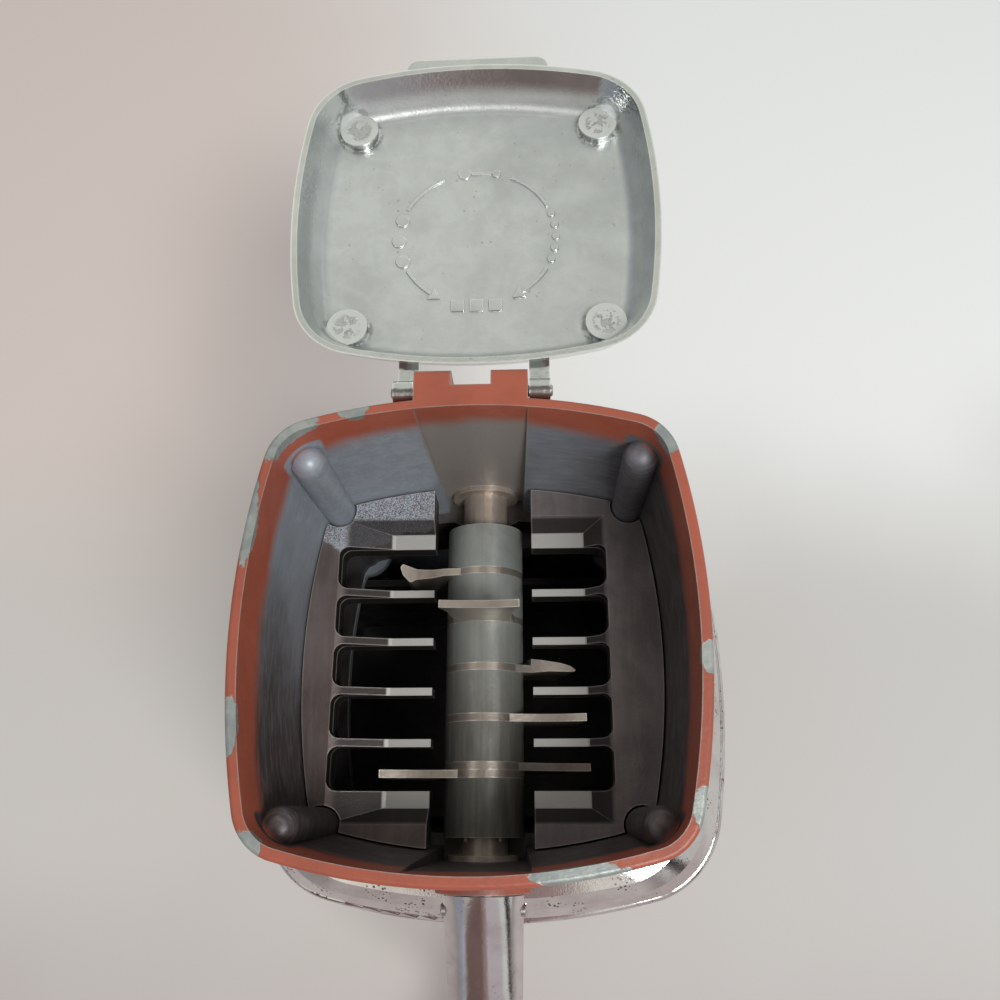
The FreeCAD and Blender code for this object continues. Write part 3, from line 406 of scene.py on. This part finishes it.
def inside_metal(tree, axes):
    """Bare metal inside the hopper, with painted light making it pale at the back left and painted
    shade making it dark in front.
    """
    stains = cloud_mask(tree, 22.0)
    toward_back = sum_of(tree, "SUBTRACT", axes["Y"], product(tree, axes["X"], 0.55))
    toward_back = sum_of(tree, "ADD", toward_back, product(tree, stains, 0.012))
    # Painted light and shade: the bare metal turns pale towards the back left and dark towards the
    # front.
    back_lit_mask = mask_between(tree, toward_back, 0.008, 0.068)
    colour = blend_colour(tree, back_lit_mask, shaded_front_metal, lit_back_metal)
    scratches = drag_mask(tree, (160.0, 160.0, 900.0))
    colour = blend_colour(tree, product(tree, scratches, 0.12), colour, ice_scuff)
    scuffs = cloud_mask(tree, 260.0, contrast=0.6)
    hit = patch_mask(tree, ice_landing, ice_landing_size, ragged_scale=90.0)
    scuffs = product(tree, scuffs, product(tree, hit, 0.16))
    colour = blend_colour(tree, scuffs, colour, ice_scuff)
    from_middle = sum_of(tree, "ABSOLUTE", axes["X"])
    narrow = mask_between(tree, from_middle, panel_half_width + 0.0004, panel_half_width)
    behind = mask_between(tree, axes["Y"], panel_front, panel_front + 0.0010)
    on_panel = product(tree, narrow, behind)
    colour = blend_colour(tree, on_panel, colour, panel_metal)
    return colour, blend_value(tree, stains, 0.42, 0.54)


def painted_casting(name, spray_end, bare_above, worn_rim):
    material, tree = start_material(name)
    place = object_place(tree)
    axes = axes_of(tree, place)
    cloudy = cloud_mask(tree, 30.0)
    colour = blend_colour(tree, cloudy, brick_red, brick_dark)
    roughness = blend_value(tree, cloudy, 0.36, 0.46)
    chipped = edge_mask(tree, 0.0007, 0.22, chip_scale=300.0)
    for (x, y), (wide, deep) in (rim_wear.values() if worn_rim else ()):
        worn = patch_mask(tree, (x, y, rim_height), (wide, deep, chip_height))
        chipped = sum_of(tree, "MAXIMUM", chipped, worn)
    chip_tone = cloud_mask(tree, 120.0)
    zinc = blend_colour(tree, chip_tone, bare_zinc, dull_zinc)
    colour = blend_colour(tree, chipped, colour, zinc)
    metal = product(tree, chipped, 0.4)
    looks_out = outward_look(tree, hopper_middle)
    inner = mask_between(tree, looks_out, 0.12, -0.12)
    ragged = noise(tree, place, 60.0, Detail=2.0)
    spray = sum_of(tree, "ADD", axes["Z"], product(tree, ragged, spray_raggedness))
    sideways = sum_of(tree, "ABSOLUTE", axes["X"])
    spray = sum_of(tree, "ADD", spray, product(tree, sideways, spray_slope))
    below = mask_between(tree, spray, spray_end + spray_fade, spray_end)
    ribs = product(tree, near_ribs(tree, axes["Z"]), mask_between(tree, looks_out, 0.5, 0.2))
    bare = sum_of(tree, "MAXIMUM", product(tree, inner, below), ribs)
    on_top = mask_between(tree, axes["Z"], bare_above - 0.0015, bare_above - 0.0005)
    bare = sum_of(tree, "MAXIMUM", bare, on_top)
    metal_colour, metal_roughness = inside_metal(tree, axes)
    colour = blend_colour(tree, bare, colour, metal_colour)
    roughness = blend_value(tree, bare, roughness, metal_roughness)
    metal = sum_of(tree, "MAXIMUM", metal, product(tree, bare, 0.25))
    skin = skin_of(tree, grain_scale=700.0, pit_scale=260.0, pit_size=0.12)["Height"]
    raised = sum_of(tree, "SUBTRACT", skin, chipped)
    finish_material(tree, colour, roughness, metal, raised, cast_bump)
    return material


deck_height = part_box("lower_housing")[1].z
far_above = 1.0
hopper_paint = painted_casting("brick paint worn at the rim", spray_end=rim_height - 0.0085,
                               bare_above=far_above, worn_rim=True)
# Above its deck the lower housing takes the inside colours, so the deck seen through the grate
# slots carries the same painted light and shade.
housing_paint = painted_casting("brick paint", spray_end=rim_height,
                                bare_above=deck_height, worn_rim=False)
dress(hopper_paint, "hopper")
dress(housing_paint, "lower_housing")

# %% [markdown]
# The lid is an aluminium casting, polished outside and on its lip. Inside it is brushed
# clean but cloudy, with darker water marks. A plain grey would look like plastic, so the
# reflection carries the tone, and the roughness changes with the marks. The four bosses
# that meet the rim are gouged, with a darker grey ring round their feet.

# %% Cast aluminium
lid_low, lid_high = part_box("lid")
polished_lip = paint_colour(236, 236, 234)
aluminium_light = paint_colour(203, 207, 205)
aluminium_dark = paint_colour(188, 192, 190)
water_mark = paint_colour(160, 163, 159)
boss_metal = paint_colour(212, 215, 212)
gouge_shade = paint_colour(146, 148, 142)
boss_foot_grey = paint_colour(140, 142, 139)
lid_floor_height = lid_low.z + 0.0020
lid_centre = (0.0, 0.1124, 0.0)
boss_place = (0.0336, 0.0317, 0.0)
boss_radius = 0.0052
boss_border = 0.0004
boss_foot_radius = 0.0060
gouge_radius = 0.0026
lid_bump = 0.00006


def boss_finish(tree, height, colour):
    """Gouged tops of the four bosses and a darker grey ring round their feet."""
    to_boss = mirrored_distance(tree, lid_centre, boss_place)
    raised = mask_between(tree, height, lid_floor_height + 0.0016, lid_floor_height + 0.0021)
    near = mask_between(tree, to_boss, boss_radius + boss_border, boss_radius)
    on_boss = product(tree, near, raised)
    gouges = cloud_mask(tree, 330.0, contrast=0.8)
    gouges = product(tree, gouges, mask_between(tree, to_boss, 0.0040, gouge_radius))
    gouges = product(tree, gouges, on_boss)
    colour = blend_colour(tree, on_boss, colour, boss_metal)
    colour = blend_colour(tree, product(tree, gouges, 0.45), colour, gouge_shade)
    boss_foot_darkening = cloud_mask(tree, 300.0, contrast=0.6)
    boss_foot_darkening = product(tree, boss_foot_darkening, mask_between(tree, to_boss, 0.0068, boss_foot_radius))
    boss_foot_darkening = product(tree, boss_foot_darkening, sum_of(tree, "SUBTRACT", 1.0, on_boss))
    above_floor = mask_between(tree, height, lid_floor_height - 0.0010, lid_floor_height - 0.0006)
    boss_foot_darkening = product(tree, boss_foot_darkening, above_floor)
    colour = blend_colour(tree, product(tree, boss_foot_darkening, 0.75), colour, boss_foot_grey)
    return colour, gouges


def lid_outside(tree, height):
    """The underside of the open lid and its outer wall, up to the lip."""
    facing = add_node(tree, "ShaderNodeTexCoord").outputs["Normal"]
    under = mask_between(tree, axes_of(tree, facing)["Z"], 0.15, -0.10)
    below_lip = mask_between(tree, height, lid_high.z - 0.0006, lid_high.z - 0.0014)
    looks_out = outward_look(tree, lid_centre)
    side = product(tree, mask_between(tree, looks_out, 0.2, 0.4), below_lip)
    return sum_of(tree, "MAXIMUM", under, side)


def cast_aluminium(name):
    material, tree = start_material(name)
    height = axes_of(tree, object_place(tree))["Z"]
    on_wall = mask_between(tree, height, lid_floor_height + 0.0030, lid_floor_height + 0.0070)
    cloudy = cloud_mask(tree, 24.0)
    marks = cloud_mask(tree, 130.0, contrast=0.3)
    lines = drag_mask(tree, (30.0, 500.0, 200.0))
    skin = skin_of(tree, grain_scale=1100.0, pit_scale=420.0, pit_size=0.15)
    colour = blend_colour(tree, cloudy, aluminium_light, aluminium_dark)
    colour = blend_colour(tree, product(tree, marks, 0.16), colour, water_mark)
    colour = blend_colour(tree, product(tree, skin["Pits"], 0.6), colour, water_mark)
    rubbed = edge_mask(tree, 0.0009, 0.5, chip_scale=250.0)
    colour = blend_colour(tree, rubbed, colour, polished_lip)
    colour, gouges = boss_finish(tree, height, colour)
    roughness = blend_value(tree, cloudy, 0.34, 0.44)
    roughness = sum_of(tree, "ADD", roughness, product(tree, lines, 0.05))
    roughness = blend_value(tree, on_wall, roughness, 0.15)
    roughness = blend_value(tree, rubbed, roughness, 0.2)
    metal = blend_value(tree, on_wall, 0.62, 0.9)
    outside = lid_outside(tree, height)
    roughness = blend_value(tree, outside, roughness, 0.12)
    metal = blend_value(tree, outside, metal, 1.0)
    relief = sum_of(tree, "SUBTRACT", skin["Height"], product(tree, gouges, 4.0))
    finish_material(tree, colour, roughness, metal, relief, lid_bump)
    return material


aluminium = cast_aluminium("cast aluminium")
dress(aluminium, "lid")

# %% [markdown]
# The frame and the rings on the shaft are plain castings, rubbed bright at their edges.
# One recipe with other colours makes both, and later the blades and the bearings too.

# %% Dark and grey castings
# Colour of the painted shade on the rings of the shaft towards the front.
front_shade_colour = paint_colour(76, 70, 58)
shade_start = 0.026
shade_end = -0.032
shaft_streaks = (300.0, 60.0, 60.0)


def worn_casting(name, body, shade, bright, polish, metal, edge_width, edge_reach,
                 streaks=shaft_streaks, front_shade=0.0):
    material, tree = start_material(name)
    cloudy = cloud_mask(tree, 32.0, contrast=0.1)
    rubbed = edge_mask(tree, edge_width, edge_reach, chip_scale=260.0)
    lines = drag_mask(tree, streaks)
    colour = blend_colour(tree, cloudy, body, shade)
    along = axes_of(tree, object_place(tree))["Y"]
    # Painted shade: the colour turns darker and olive towards the front of the hopper.
    front_shaded = product(tree, mask_between(tree, along, shade_start, shade_end), front_shade)
    colour = blend_colour(tree, front_shaded, colour, front_shade_colour)
    colour = blend_colour(tree, product(tree, lines, 0.14), colour, bright)
    colour = blend_colour(tree, rubbed, colour, bright)
    roughness = blend_value(tree, cloudy, polish, polish + 0.12)
    roughness = blend_value(tree, rubbed, roughness, 0.25)
    skin = skin_of(tree, grain_scale=900.0, pit_scale=420.0, pit_size=0.16)["Height"]
    finish_material(tree, colour, roughness, metal, skin, bump_depth=0.00007)
    return material


grey_zinc = worn_casting(
    "grey zinc", body=paint_colour(150, 154, 150), shade=paint_colour(130, 132, 126),
    bright=paint_colour(184, 186, 180), polish=0.42, metal=0.4, edge_width=0.0004, edge_reach=0.36,
    streaks=(520.0, 40.0, 520.0), front_shade=0.75)
frame_casting = worn_casting(
    "dark frame casting", body=paint_colour(96, 92, 90), shade=paint_colour(70, 66, 64),
    bright=paint_colour(130, 127, 122), polish=0.42, metal=0.5, edge_width=0.0006, edge_reach=0.25)
dress(grey_zinc, "blade_spacers")
dress(frame_casting, "mill_frame")

# %% [markdown]
# On the grates the sunk finger tips and end pads are flat and face up, and painted light makes
# them bright; painted shade darkens the slopes between them and the bars. Heights tell them
# apart. The pad at the back left has a skin of grains with painted glints, which a fine noise
# inside a ragged patch gives.

# %% Grates
grate_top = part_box("grate_coarse")[1].z
flat_height = grate_top - 0.0044
flat_reach = 0.0002
# Colour of the painted light on the flat tops.
lit_flat_metal = paint_colour(190, 190, 185)
brushed_grate = paint_colour(170, 164, 160)
grain_glint = paint_colour(206, 216, 228)
root_shadow = paint_colour(48, 44, 43)
edge_wear_highlight = paint_colour(196, 190, 184)
glint_pad = (-0.0270, 0.0400, grate_top)
glint_pad_size = (0.0220, 0.0120, 0.0040)


def grate_casting(name, body, shade, grain_glints):
    material, tree = start_material(name)
    place = object_place(tree)
    height = axes_of(tree, place)["Z"]
    off_flat = sum_of(tree, "ABSOLUTE", sum_of(tree, "SUBTRACT", height, flat_height))
    lit_flats = mask_between(tree, off_flat, 2.0 * flat_reach, flat_reach)
    sunk = mask_between(tree, height, grate_top - 0.0002, grate_top - 0.0009)
    cloudy = cloud_mask(tree, 20.0)
    lines = drag_mask(tree, (420.0, 50.0, 60.0))
    skin = skin_of(tree, grain_scale=1500.0, pit_scale=520.0, pit_size=0.14)
    rubbed = edge_mask(tree, 0.0008, 0.5, chip_scale=200.0)
    colour = blend_colour(tree, cloudy, body, shade)
    colour = blend_colour(tree, product(tree, lines, 0.12), colour, brushed_grate)
    roughness = blend_value(tree, cloudy, 0.30, 0.42)
    # Painted glints: a bluish white sparkle of grain on the back left pad, over a real grain
    # relief.
    hit = patch_mask(tree, glint_pad, glint_pad_size, ragged_scale=160.0)
    fine = noise(tree, place, 4200.0, Detail=1.0)
    glints = product(tree, mask_between(tree, fine, 0.36, 0.66), product(tree, hit, grain_glints))
    colour = blend_colour(tree, glints, colour, grain_glint)
    # Painted shade on all that lies lower than the bar tops.
    colour = blend_colour(tree, product(tree, sunk, 0.85), colour, root_shadow)
    # Edges are lighter from wear and from a painted highlight where the rounded edges catch the
    # light.
    colour = blend_colour(tree, product(tree, rubbed, 0.5), colour, edge_wear_highlight)
    # Painted light on the flat tops that face up.
    colour = blend_colour(tree, lit_flats, colour, lit_flat_metal)
    roughness = blend_value(tree, sum_of(tree, "MAXIMUM", lit_flats, rubbed), roughness, 0.36)
    metal = blend_value(tree, lit_flats, 0.55, 0.40)
    relief = sum_of(tree, "ADD", skin["Height"], glints)
    finish_material(tree, colour, roughness, metal, relief, bump_depth=0.00007)
    return material


# The fine grate is the same casting in lighter colours: painted light, where the sky is reflected
# on the right.
coarse_casting = grate_casting("coarse grate casting", body=paint_colour(124, 112, 109),
                               shade=paint_colour(98, 87, 84), grain_glints=0.8)
fine_casting = grate_casting("fine grate casting", body=paint_colour(140, 132, 131),
                             shade=paint_colour(108, 101, 101), grain_glints=0.1)
dress(coarse_casting, "grate_coarse")
dress(fine_casting, "grate_fine")

# %% [markdown]
# Blades are stamped steel, nickel plated once and now warm and brushed, bright at the
# edges that meet the ice. The shaft and its bushes are a warmer, darker metal.

# %% Blade steel and bearing bronze
blade_steel = worn_casting(
    "blade steel", body=paint_colour(188, 178, 166), shade=paint_colour(150, 140, 130),
    bright=paint_colour(228, 222, 212), polish=0.30, metal=0.8, edge_width=0.0006, edge_reach=0.5)
bearing_bronze = worn_casting(
    "bearing bronze", body=paint_colour(204, 190, 176), shade=paint_colour(168, 154, 142),
    bright=paint_colour(226, 216, 204), polish=0.28, metal=0.6, edge_width=0.0004, edge_reach=0.4,
    streaks=(900.0, 30.0, 900.0))
dress(blade_steel, *["ice_blade_%d" % number for number in range(1, 7)])
dress(bearing_bronze, "crank_shaft", "bush_front", "bush_rear")

# %% [markdown]
# Old chrome still mirrors the room but is peppered with pits and a thin haze. A very low
# roughness with small changes keeps the mirror, and the pits are rough and dark.

# %% Pitted chrome
clear_chrome = paint_colour(228, 225, 224)
hazy_chrome = paint_colour(208, 199, 198)
pit_brown = paint_colour(120, 104, 98)


def pitted_chrome(name, pit_size):
    material, tree = start_material(name)
    haze = cloud_mask(tree, 40.0)
    skin = skin_of(tree, grain_scale=2200.0, pit_scale=900.0, pit_size=pit_size)
    colour = blend_colour(tree, haze, clear_chrome, hazy_chrome)
    colour = blend_colour(tree, skin["Pits"], colour, pit_brown)
    roughness = blend_value(tree, haze, 0.07, 0.16)
    roughness = blend_value(tree, skin["Pits"], roughness, 0.5)
    finish_material(tree, colour, roughness, 1.0, skin["Height"], bump_depth=0.00002)
    return material


dress(pitted_chrome("pitted chrome", pit_size=0.34), "shoulder_cover")
dress(pitted_chrome("bright chrome", pit_size=0.16), "crank_arm", "receiver_pull", "knob_pin")

# %% [markdown]
# The rest is below the shoulder: a moulded tray and knob, a rubber ring, a painted bottom
# plate and zinc plated screws. They share one recipe whose numbers say what they are.

# %% Moulded, rubber and painted small parts
def moulded(name, body, shade, smooth, dull, metal, bump_depth, **fixed):
    material, tree = start_material(name)
    cloudy = cloud_mask(tree, 55.0, contrast=0.5)
    rubbed = edge_mask(tree, 0.0007, 0.35, chip_scale=500.0)
    lines = drag_mask(tree, (60.0, 60.0, 700.0))
    colour = blend_colour(tree, cloudy, body, shade)
    light = tuple(min(1.0, 1.5 * level + 0.02) for level in body[:3]) + (1.0,)
    colour = blend_colour(tree, rubbed, colour, light)
    roughness = blend_value(tree, cloudy, smooth, dull)
    roughness = sum_of(tree, "ADD", roughness, product(tree, lines, 0.06))
    skin = skin_of(tree, grain_scale=1300.0, pit_scale=500.0, pit_size=0.08)["Height"]
    finish_material(tree, colour, roughness, metal, skin, bump_depth, **fixed)
    return material


tray_dark = moulded(
    "dark moulding", body=paint_colour(46, 43, 41), shade=paint_colour(36, 34, 33), smooth=0.30,
    dull=0.42, metal=0.0, bump_depth=0.00003, Coat_Weight=0.3, Coat_Roughness=0.15)
knob_red = moulded(
    "knob moulding", body=paint_colour(150, 66, 48), shade=paint_colour(120, 50, 38), smooth=0.18,
    dull=0.3, metal=0.0, bump_depth=0.00002, Coat_Weight=0.5, Coat_Roughness=0.1)
rubber = moulded(
    "foot rubber", body=paint_colour(44, 43, 42), shade=paint_colour(34, 33, 33), smooth=0.7,
    dull=0.85, metal=0.0, bump_depth=0.0001)
black_plate = moulded(
    "black plate", body=paint_colour(52, 52, 54), shade=paint_colour(40, 40, 42), smooth=0.4,
    dull=0.55, metal=0.0, bump_depth=0.00005)
plated_steel = moulded(
    "plated steel", body=paint_colour(188, 188, 186), shade=paint_colour(160, 160, 156),
    smooth=0.25, dull=0.38, metal=1.0, bump_depth=0.00003)
dress(tray_dark, "receiver")
dress(knob_red, "crank_knob")
dress(rubber, "foot_ring")
dress(black_plate, "base_plate")
dress(plated_steel, "hinge_pin", "body_screws", "base_screws", "pull_screws", "hub_pin")

# %% [markdown]
# Inside the lid the casting carries a ring of raised marks that says which way to turn
# the crank for coarse or fine ice. Curved arrows run from the far end of the lid to the
# hinge end, large round pips stand on the coarse side and small ones on the fine side.
# The ribbon of each arrow could be drawn as a curve, but a short edge spun round the
# middle of the ring is quicker and stays exactly round. Each mark is drawn flat with the
# middle of the ring at the origin, then raised and carried to its place.

# %% Where the raised marks go
lid_middle = (lid_low + lid_high) / 2.0
above_lid = Vector((0.0, lid_middle.y, lid_high.z + 0.05))
straight_down = Vector((0.0, 0.0, -1.0))
found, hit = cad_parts["lid"].ray_cast(above_lid, straight_down)[:2]
lid_floor = hit.z
ring_middle = Vector((0.0, 0.1088, lid_floor))
ring_radius = 0.0213
mark_width = 0.0010
mark_height = 0.0005
mark_softness = 0.00022
smooth_angle = math.radians(50.0)
print("lid floor at", round(lid_floor, 4), "found:", found)


# %% Helpers for flat marks
def select_only(*pieces):
    bpy.ops.object.select_all(action="DESELECT")
    for piece in pieces:
        piece.select_set(True)
    bpy.context.view_layer.objects.active = pieces[-1]


def new_mark(name):
    """Take the primitive that was just added and put its place into its mesh."""
    piece = bpy.context.active_object
    piece.name = name
    select_only(piece)
    bpy.ops.object.transform_apply(location=True, rotation=True, scale=True)
    return piece


def turn_round_ring(piece, angle):
    piece.rotation_euler.z = angle
    select_only(piece)
    bpy.ops.object.transform_apply(location=True, rotation=True, scale=True)


def raise_mark(piece):
    """Give a flat mark its height and soft edges, and let it ride on the lid."""
    piece.location = ring_middle
    select_only(piece)
    bpy.ops.object.transform_apply(location=True, rotation=True, scale=True)
    wall = piece.modifiers.new("height", "SOLIDIFY")
    wall.thickness = 2.0 * mark_height
    wall.offset = 0.0
    bpy.ops.object.modifier_apply(modifier=wall.name)
    bpy.ops.object.mode_set(mode="EDIT")
    bpy.ops.mesh.select_all(action="SELECT")
    bpy.ops.mesh.normals_make_consistent(inside=False)
    bpy.ops.object.mode_set(mode="OBJECT")
    soft = piece.modifiers.new("soft edges", "BEVEL")
    soft.width = mark_softness
    soft.segments = 3
    bpy.ops.object.modifier_apply(modifier=soft.name)
    bpy.ops.object.shade_smooth_by_angle(angle=smooth_angle)
    piece.data.materials.append(aluminium)
    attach(piece, "lid")
    print(piece.name, "has", len(piece.data.polygons), "faces")


# %% Curved ribbons and arrowheads
head_radius = 0.0023
degrees_per_step = 4.0


def ribbon(name, start, sweep):
    """A flat ribbon on the ring. Angles run from the far end of the lid, left is positive."""
    bpy.ops.object.select_all(action="DESELECT")
    bpy.ops.mesh.primitive_plane_add(size=mark_width, location=(0.0, ring_radius, 0.0))
    piece = new_mark(name)
    bpy.ops.object.mode_set(mode="EDIT")
    bpy.ops.mesh.select_mode(type="VERT")
    bpy.ops.mesh.select_all(action="DESELECT")
    sheet = bmesh.from_edit_mesh(piece.data)
    for corner in sheet.verts:
        corner.select_set(corner.co.x * sweep < 0.0)
    sheet.select_flush(True)
    bmesh.update_edit_mesh(piece.data)
    bpy.ops.mesh.spin(steps=round(abs(sweep) / degrees_per_step), angle=-math.radians(sweep),
                      center=(0.0, 0.0, 0.0), axis=(0.0, 0.0, 1.0))
    bpy.ops.object.mode_set(mode="OBJECT")
    turn_round_ring(piece, math.radians(start))
    return piece


def arrowhead(name, angle, side):
    """A flat triangle on the ring that points on round it, left for side 1."""
    bpy.ops.object.select_all(action="DESELECT")
    bpy.ops.mesh.primitive_circle_add(vertices=3, radius=head_radius, fill_type="NGON",
                                      location=(0.0, ring_radius, 0.0),
                                      rotation=(0.0, 0.0, side * math.pi / 2.0))
    piece = new_mark(name)
    turn_round_ring(piece, math.radians(angle))
    return piece


for side, hand in ((1, "coarse"), (-1, "fine")):
    upper = ribbon("ring_line_" + hand, start=side * 27.0, sweep=side * 36.0)
    lower = ribbon("ring_arrow_" + hand, start=side * 120.0, sweep=side * 25.0)
    head = arrowhead("head_" + hand, angle=side * 148.0, side=side)
    select_only(head, lower)
    bpy.ops.object.join()
    raise_mark(upper)
    raise_mark(lower)


# %% [markdown]
# The pips stand where the eye expects a scale: three large ones for coarse ice and five
# small ones for fine. Three little blocks of ice sit between the arrowheads, and a crank
# sign with a round hub and a round grip stands at the far end.

# %% Pips, ice blocks and crank sign
coarse_angles = (74.0, 92.0, 110.0)
fine_angles = (-71.0, -81.0, -91.0, -101.0, -111.0)
coarse_radius = 0.0020
fine_radius = 0.0011
block_side = 0.0037
block_step = 0.0050
corner_radius = 0.0004


def pip(name, angle, radius):
    bpy.ops.object.select_all(action="DESELECT")
    bpy.ops.mesh.primitive_circle_add(vertices=24, radius=radius, fill_type="NGON",
                                      location=(0.0, ring_radius, 0.0))
    piece = new_mark(name)
    turn_round_ring(piece, math.radians(angle))
    return piece


def bar(name, middle, length, width):
    bpy.ops.object.select_all(action="DESELECT")
    bpy.ops.mesh.primitive_plane_add(size=1.0, location=middle)
    bpy.context.active_object.scale = (length, width, 1.0)
    piece = new_mark(name)
    bpy.ops.object.mode_set(mode="EDIT")
    bpy.ops.mesh.select_all(action="SELECT")
    bpy.ops.mesh.bevel(offset=corner_radius, segments=3, affect="VERTICES")
    bpy.ops.object.mode_set(mode="OBJECT")
    return piece


for number, angle in enumerate(coarse_angles, start=1):
    raise_mark(pip("pip_coarse_%d" % number, angle, coarse_radius))
for number, angle in enumerate(fine_angles, start=1):
    raise_mark(pip("pip_fine_%d" % number, angle, fine_radius))
for number, x in enumerate((-block_step, 0.0, block_step), start=1):
    raise_mark(bar("ice_block_%d" % number, (x, -ring_radius, 0.0), block_side, block_side))
crank_hub = pip("crank_sign_hub", angle=10.0, radius=0.0018)
crank_grip = pip("crank_sign_grip", angle=-14.0, radius=0.0012)
crank_bar = bar("crank_sign", middle=(0.0010, ring_radius - 0.0005, 0.0), length=0.0056,
                width=mark_width)
select_only(crank_hub, crank_grip, crank_bar)
bpy.ops.object.join()
raise_mark(crank_bar)

# %% [markdown]
# The crusher stands on a pale floor. The floor is a real surface, so it keeps the soft
# shadow, and what the camera and the mirrors see of it is lifted a little, which is how a
# pale sweep looks in a studio. Its colours also carry painted shade, warmer on the left and
# darker nearest, and painted light, whiter far right.

# %% Floor
floor_side = 8.0
# Floor colours: painted shade warms the left and darkens the front, painted light whitens the far
# right.
near_left = paint_colour(193, 189, 183)
near_right = paint_colour(188, 187, 183)
nearest_shade = paint_colour(176, 169, 166)
far_left_shade = paint_colour(204, 193, 186)
far_right_light = paint_colour(222, 224, 221)


def pale_floor(name, lift):
    material, tree = start_material(name)
    path = add_node(tree, "ShaderNodeLightPath").outputs
    seen = sum_of(tree, "MAXIMUM", path["Is Camera Ray"], path["Is Glossy Ray"])
    seen = sum_of(tree, "MAXIMUM", seen, path["Is Transmission Ray"])
    place = object_place(tree)
    axes = axes_of(tree, place)
    faint = noise(tree, place, 6.0, Detail=2.0)
    stir = product(tree, sum_of(tree, "SUBTRACT", faint, 0.5), 0.12)
    across = sum_of(tree, "ADD", axes["X"], stir)
    away = sum_of(tree, "ADD", axes["Y"], stir)
    near_colour = blend_colour(tree, mask_between(tree, across, -0.12, 0.12), near_left, near_right)
    near_colour = blend_colour(tree, mask_between(tree, away, -0.04, -0.16), near_colour, nearest_shade)
    far_colour = blend_colour(tree, mask_between(tree, across, -0.17, 0.09), far_left_shade, far_right_light)
    colour = blend_colour(tree, mask_between(tree, away, 0.02, 0.17), near_colour, far_colour)
    paper = add_node(tree, "ShaderNodeBsdfDiffuse", {"Color": colour})
    glow = add_node(tree, "ShaderNodeEmission",
                    {"Color": colour, "Strength": product(tree, seen, lift)})
    both = add_node(tree, "ShaderNodeAddShader", {0: paper.outputs[0], 1: glow.outputs[0]})
    add_node(tree, "ShaderNodeOutputMaterial", {"Surface": both.outputs[0]})
    return material


bpy.ops.object.select_all(action="DESELECT")
bpy.ops.mesh.primitive_plane_add(size=floor_side, location=(0.0, 0.0, 0.0))
floor = bpy.context.active_object
floor.name = "floor"
floor.data.materials.append(pale_floor("pale floor", lift=0.22))
print("floor in place")

# %% [markdown]
# The light is that of a bright room. An even pale sky gives most of it. One broad lamp high
# in front on the right gives the soft shadow behind the left side and lights the inside of
# the hopper at the back. Mirrors see a room instead: bright windows left and right, somebody
# in warm clothes bent over in the middle, and dark things at the far sides. These make the
# stripes along the crank, which could be painted on it, but then they would turn with it.

# %% Light
blue_window = paint_colour(150, 155, 168)
bright_window = paint_colour(236, 236, 226)
right_window = paint_colour(206, 208, 206)
left_corner = paint_colour(70, 68, 74)
right_frame = paint_colour(66, 60, 58)
warm_clothes = paint_colour(150, 128, 126)
brown_chest = paint_colour(116, 96, 92)
pale_sleeve = paint_colour(184, 178, 182)
dim_ceiling = paint_colour(104, 95, 93)
even_sky = (0.47, 0.47, 0.48, 1.0)
backdrop = paint_colour(222, 221, 219)

world = bpy.data.worlds.new("room")
bpy.context.scene.world = world
world.use_nodes = True
tree = world.node_tree
tree.nodes.clear()
path = add_node(tree, "ShaderNodeLightPath").outputs
direction = add_node(tree, "ShaderNodeTexCoord").outputs["Generated"]
toward = axes_of(tree, direction)
across = toward["X"]


def band(rise_from, rise_to, fall_from, fall_to):
    """A stripe of the room: it fades in over the first two places and out over the last two."""
    return product(tree, mask_between(tree, across, rise_from, rise_to),
                   mask_between(tree, across, fall_from, fall_to))


room = blend_colour(tree, mask_between(tree, across, -0.72, -0.45), blue_window, bright_window)
room = blend_colour(tree, mask_between(tree, across, 0.16, 0.26), room, right_window)
room = blend_colour(tree, mask_between(tree, across, -0.90, -0.95), room, left_corner)
room = blend_colour(tree, band(0.66, 0.70, 0.80, 0.76), room, right_frame)
body_width = sum_of(tree, "ABSOLUTE", sum_of(tree, "ADD", across, 0.02))
in_front = mask_between(tree, toward["Y"], 0.25, 0.05)
somebody = product(tree, mask_between(tree, body_width, 0.17, 0.11), in_front)
room = blend_colour(tree, somebody, room, warm_clothes)
low_in_front = mask_between(tree, toward["Y"], -0.70, -0.82)
front_left = product(tree, low_in_front, band(-0.02, -0.10, -0.66, -0.56))
room = blend_colour(tree, front_left, room, brown_chest)
front_right = product(tree, low_in_front, band(0.04, 0.10, 0.60, 0.50))
room = blend_colour(tree, front_right, room, pale_sleeve)
overhead = mask_between(tree, toward["Z"], 0.88, 0.98)
room = blend_colour(tree, overhead, room, dim_ceiling)
sky = blend_colour(tree, path["Is Glossy Ray"], even_sky, room)
sky = blend_colour(tree, path["Is Camera Ray"], sky, backdrop)
light = add_node(tree, "ShaderNodeBackground", {"Color": sky, "Strength": 1.0})
add_node(tree, "ShaderNodeOutputWorld", {"Surface": light.outputs[0]})

lamp_data = bpy.data.lights.new("broad lamp", "AREA")
lamp_data.shape = "RECTANGLE"
lamp_data.size = 0.4
lamp_data.size_y = 0.35
lamp_data.energy = 7.8
lamp = bpy.data.objects.new("broad_lamp", lamp_data)
bpy.context.scene.collection.objects.link(lamp)
lamp.location = (0.40, -0.42, 1.05)
lamp_target = Vector((0.0, 0.03, 0.15))
aim = lamp_target - Vector(lamp.location)
lamp.rotation_euler = aim.to_track_quat("-Z", "Y").to_euler()
print("lamp at", tuple(round(v, 2) for v in lamp.location))

# %% Colour view and last update
bpy.context.scene.view_settings.view_transform = "Standard"
bpy.context.view_layer.update()
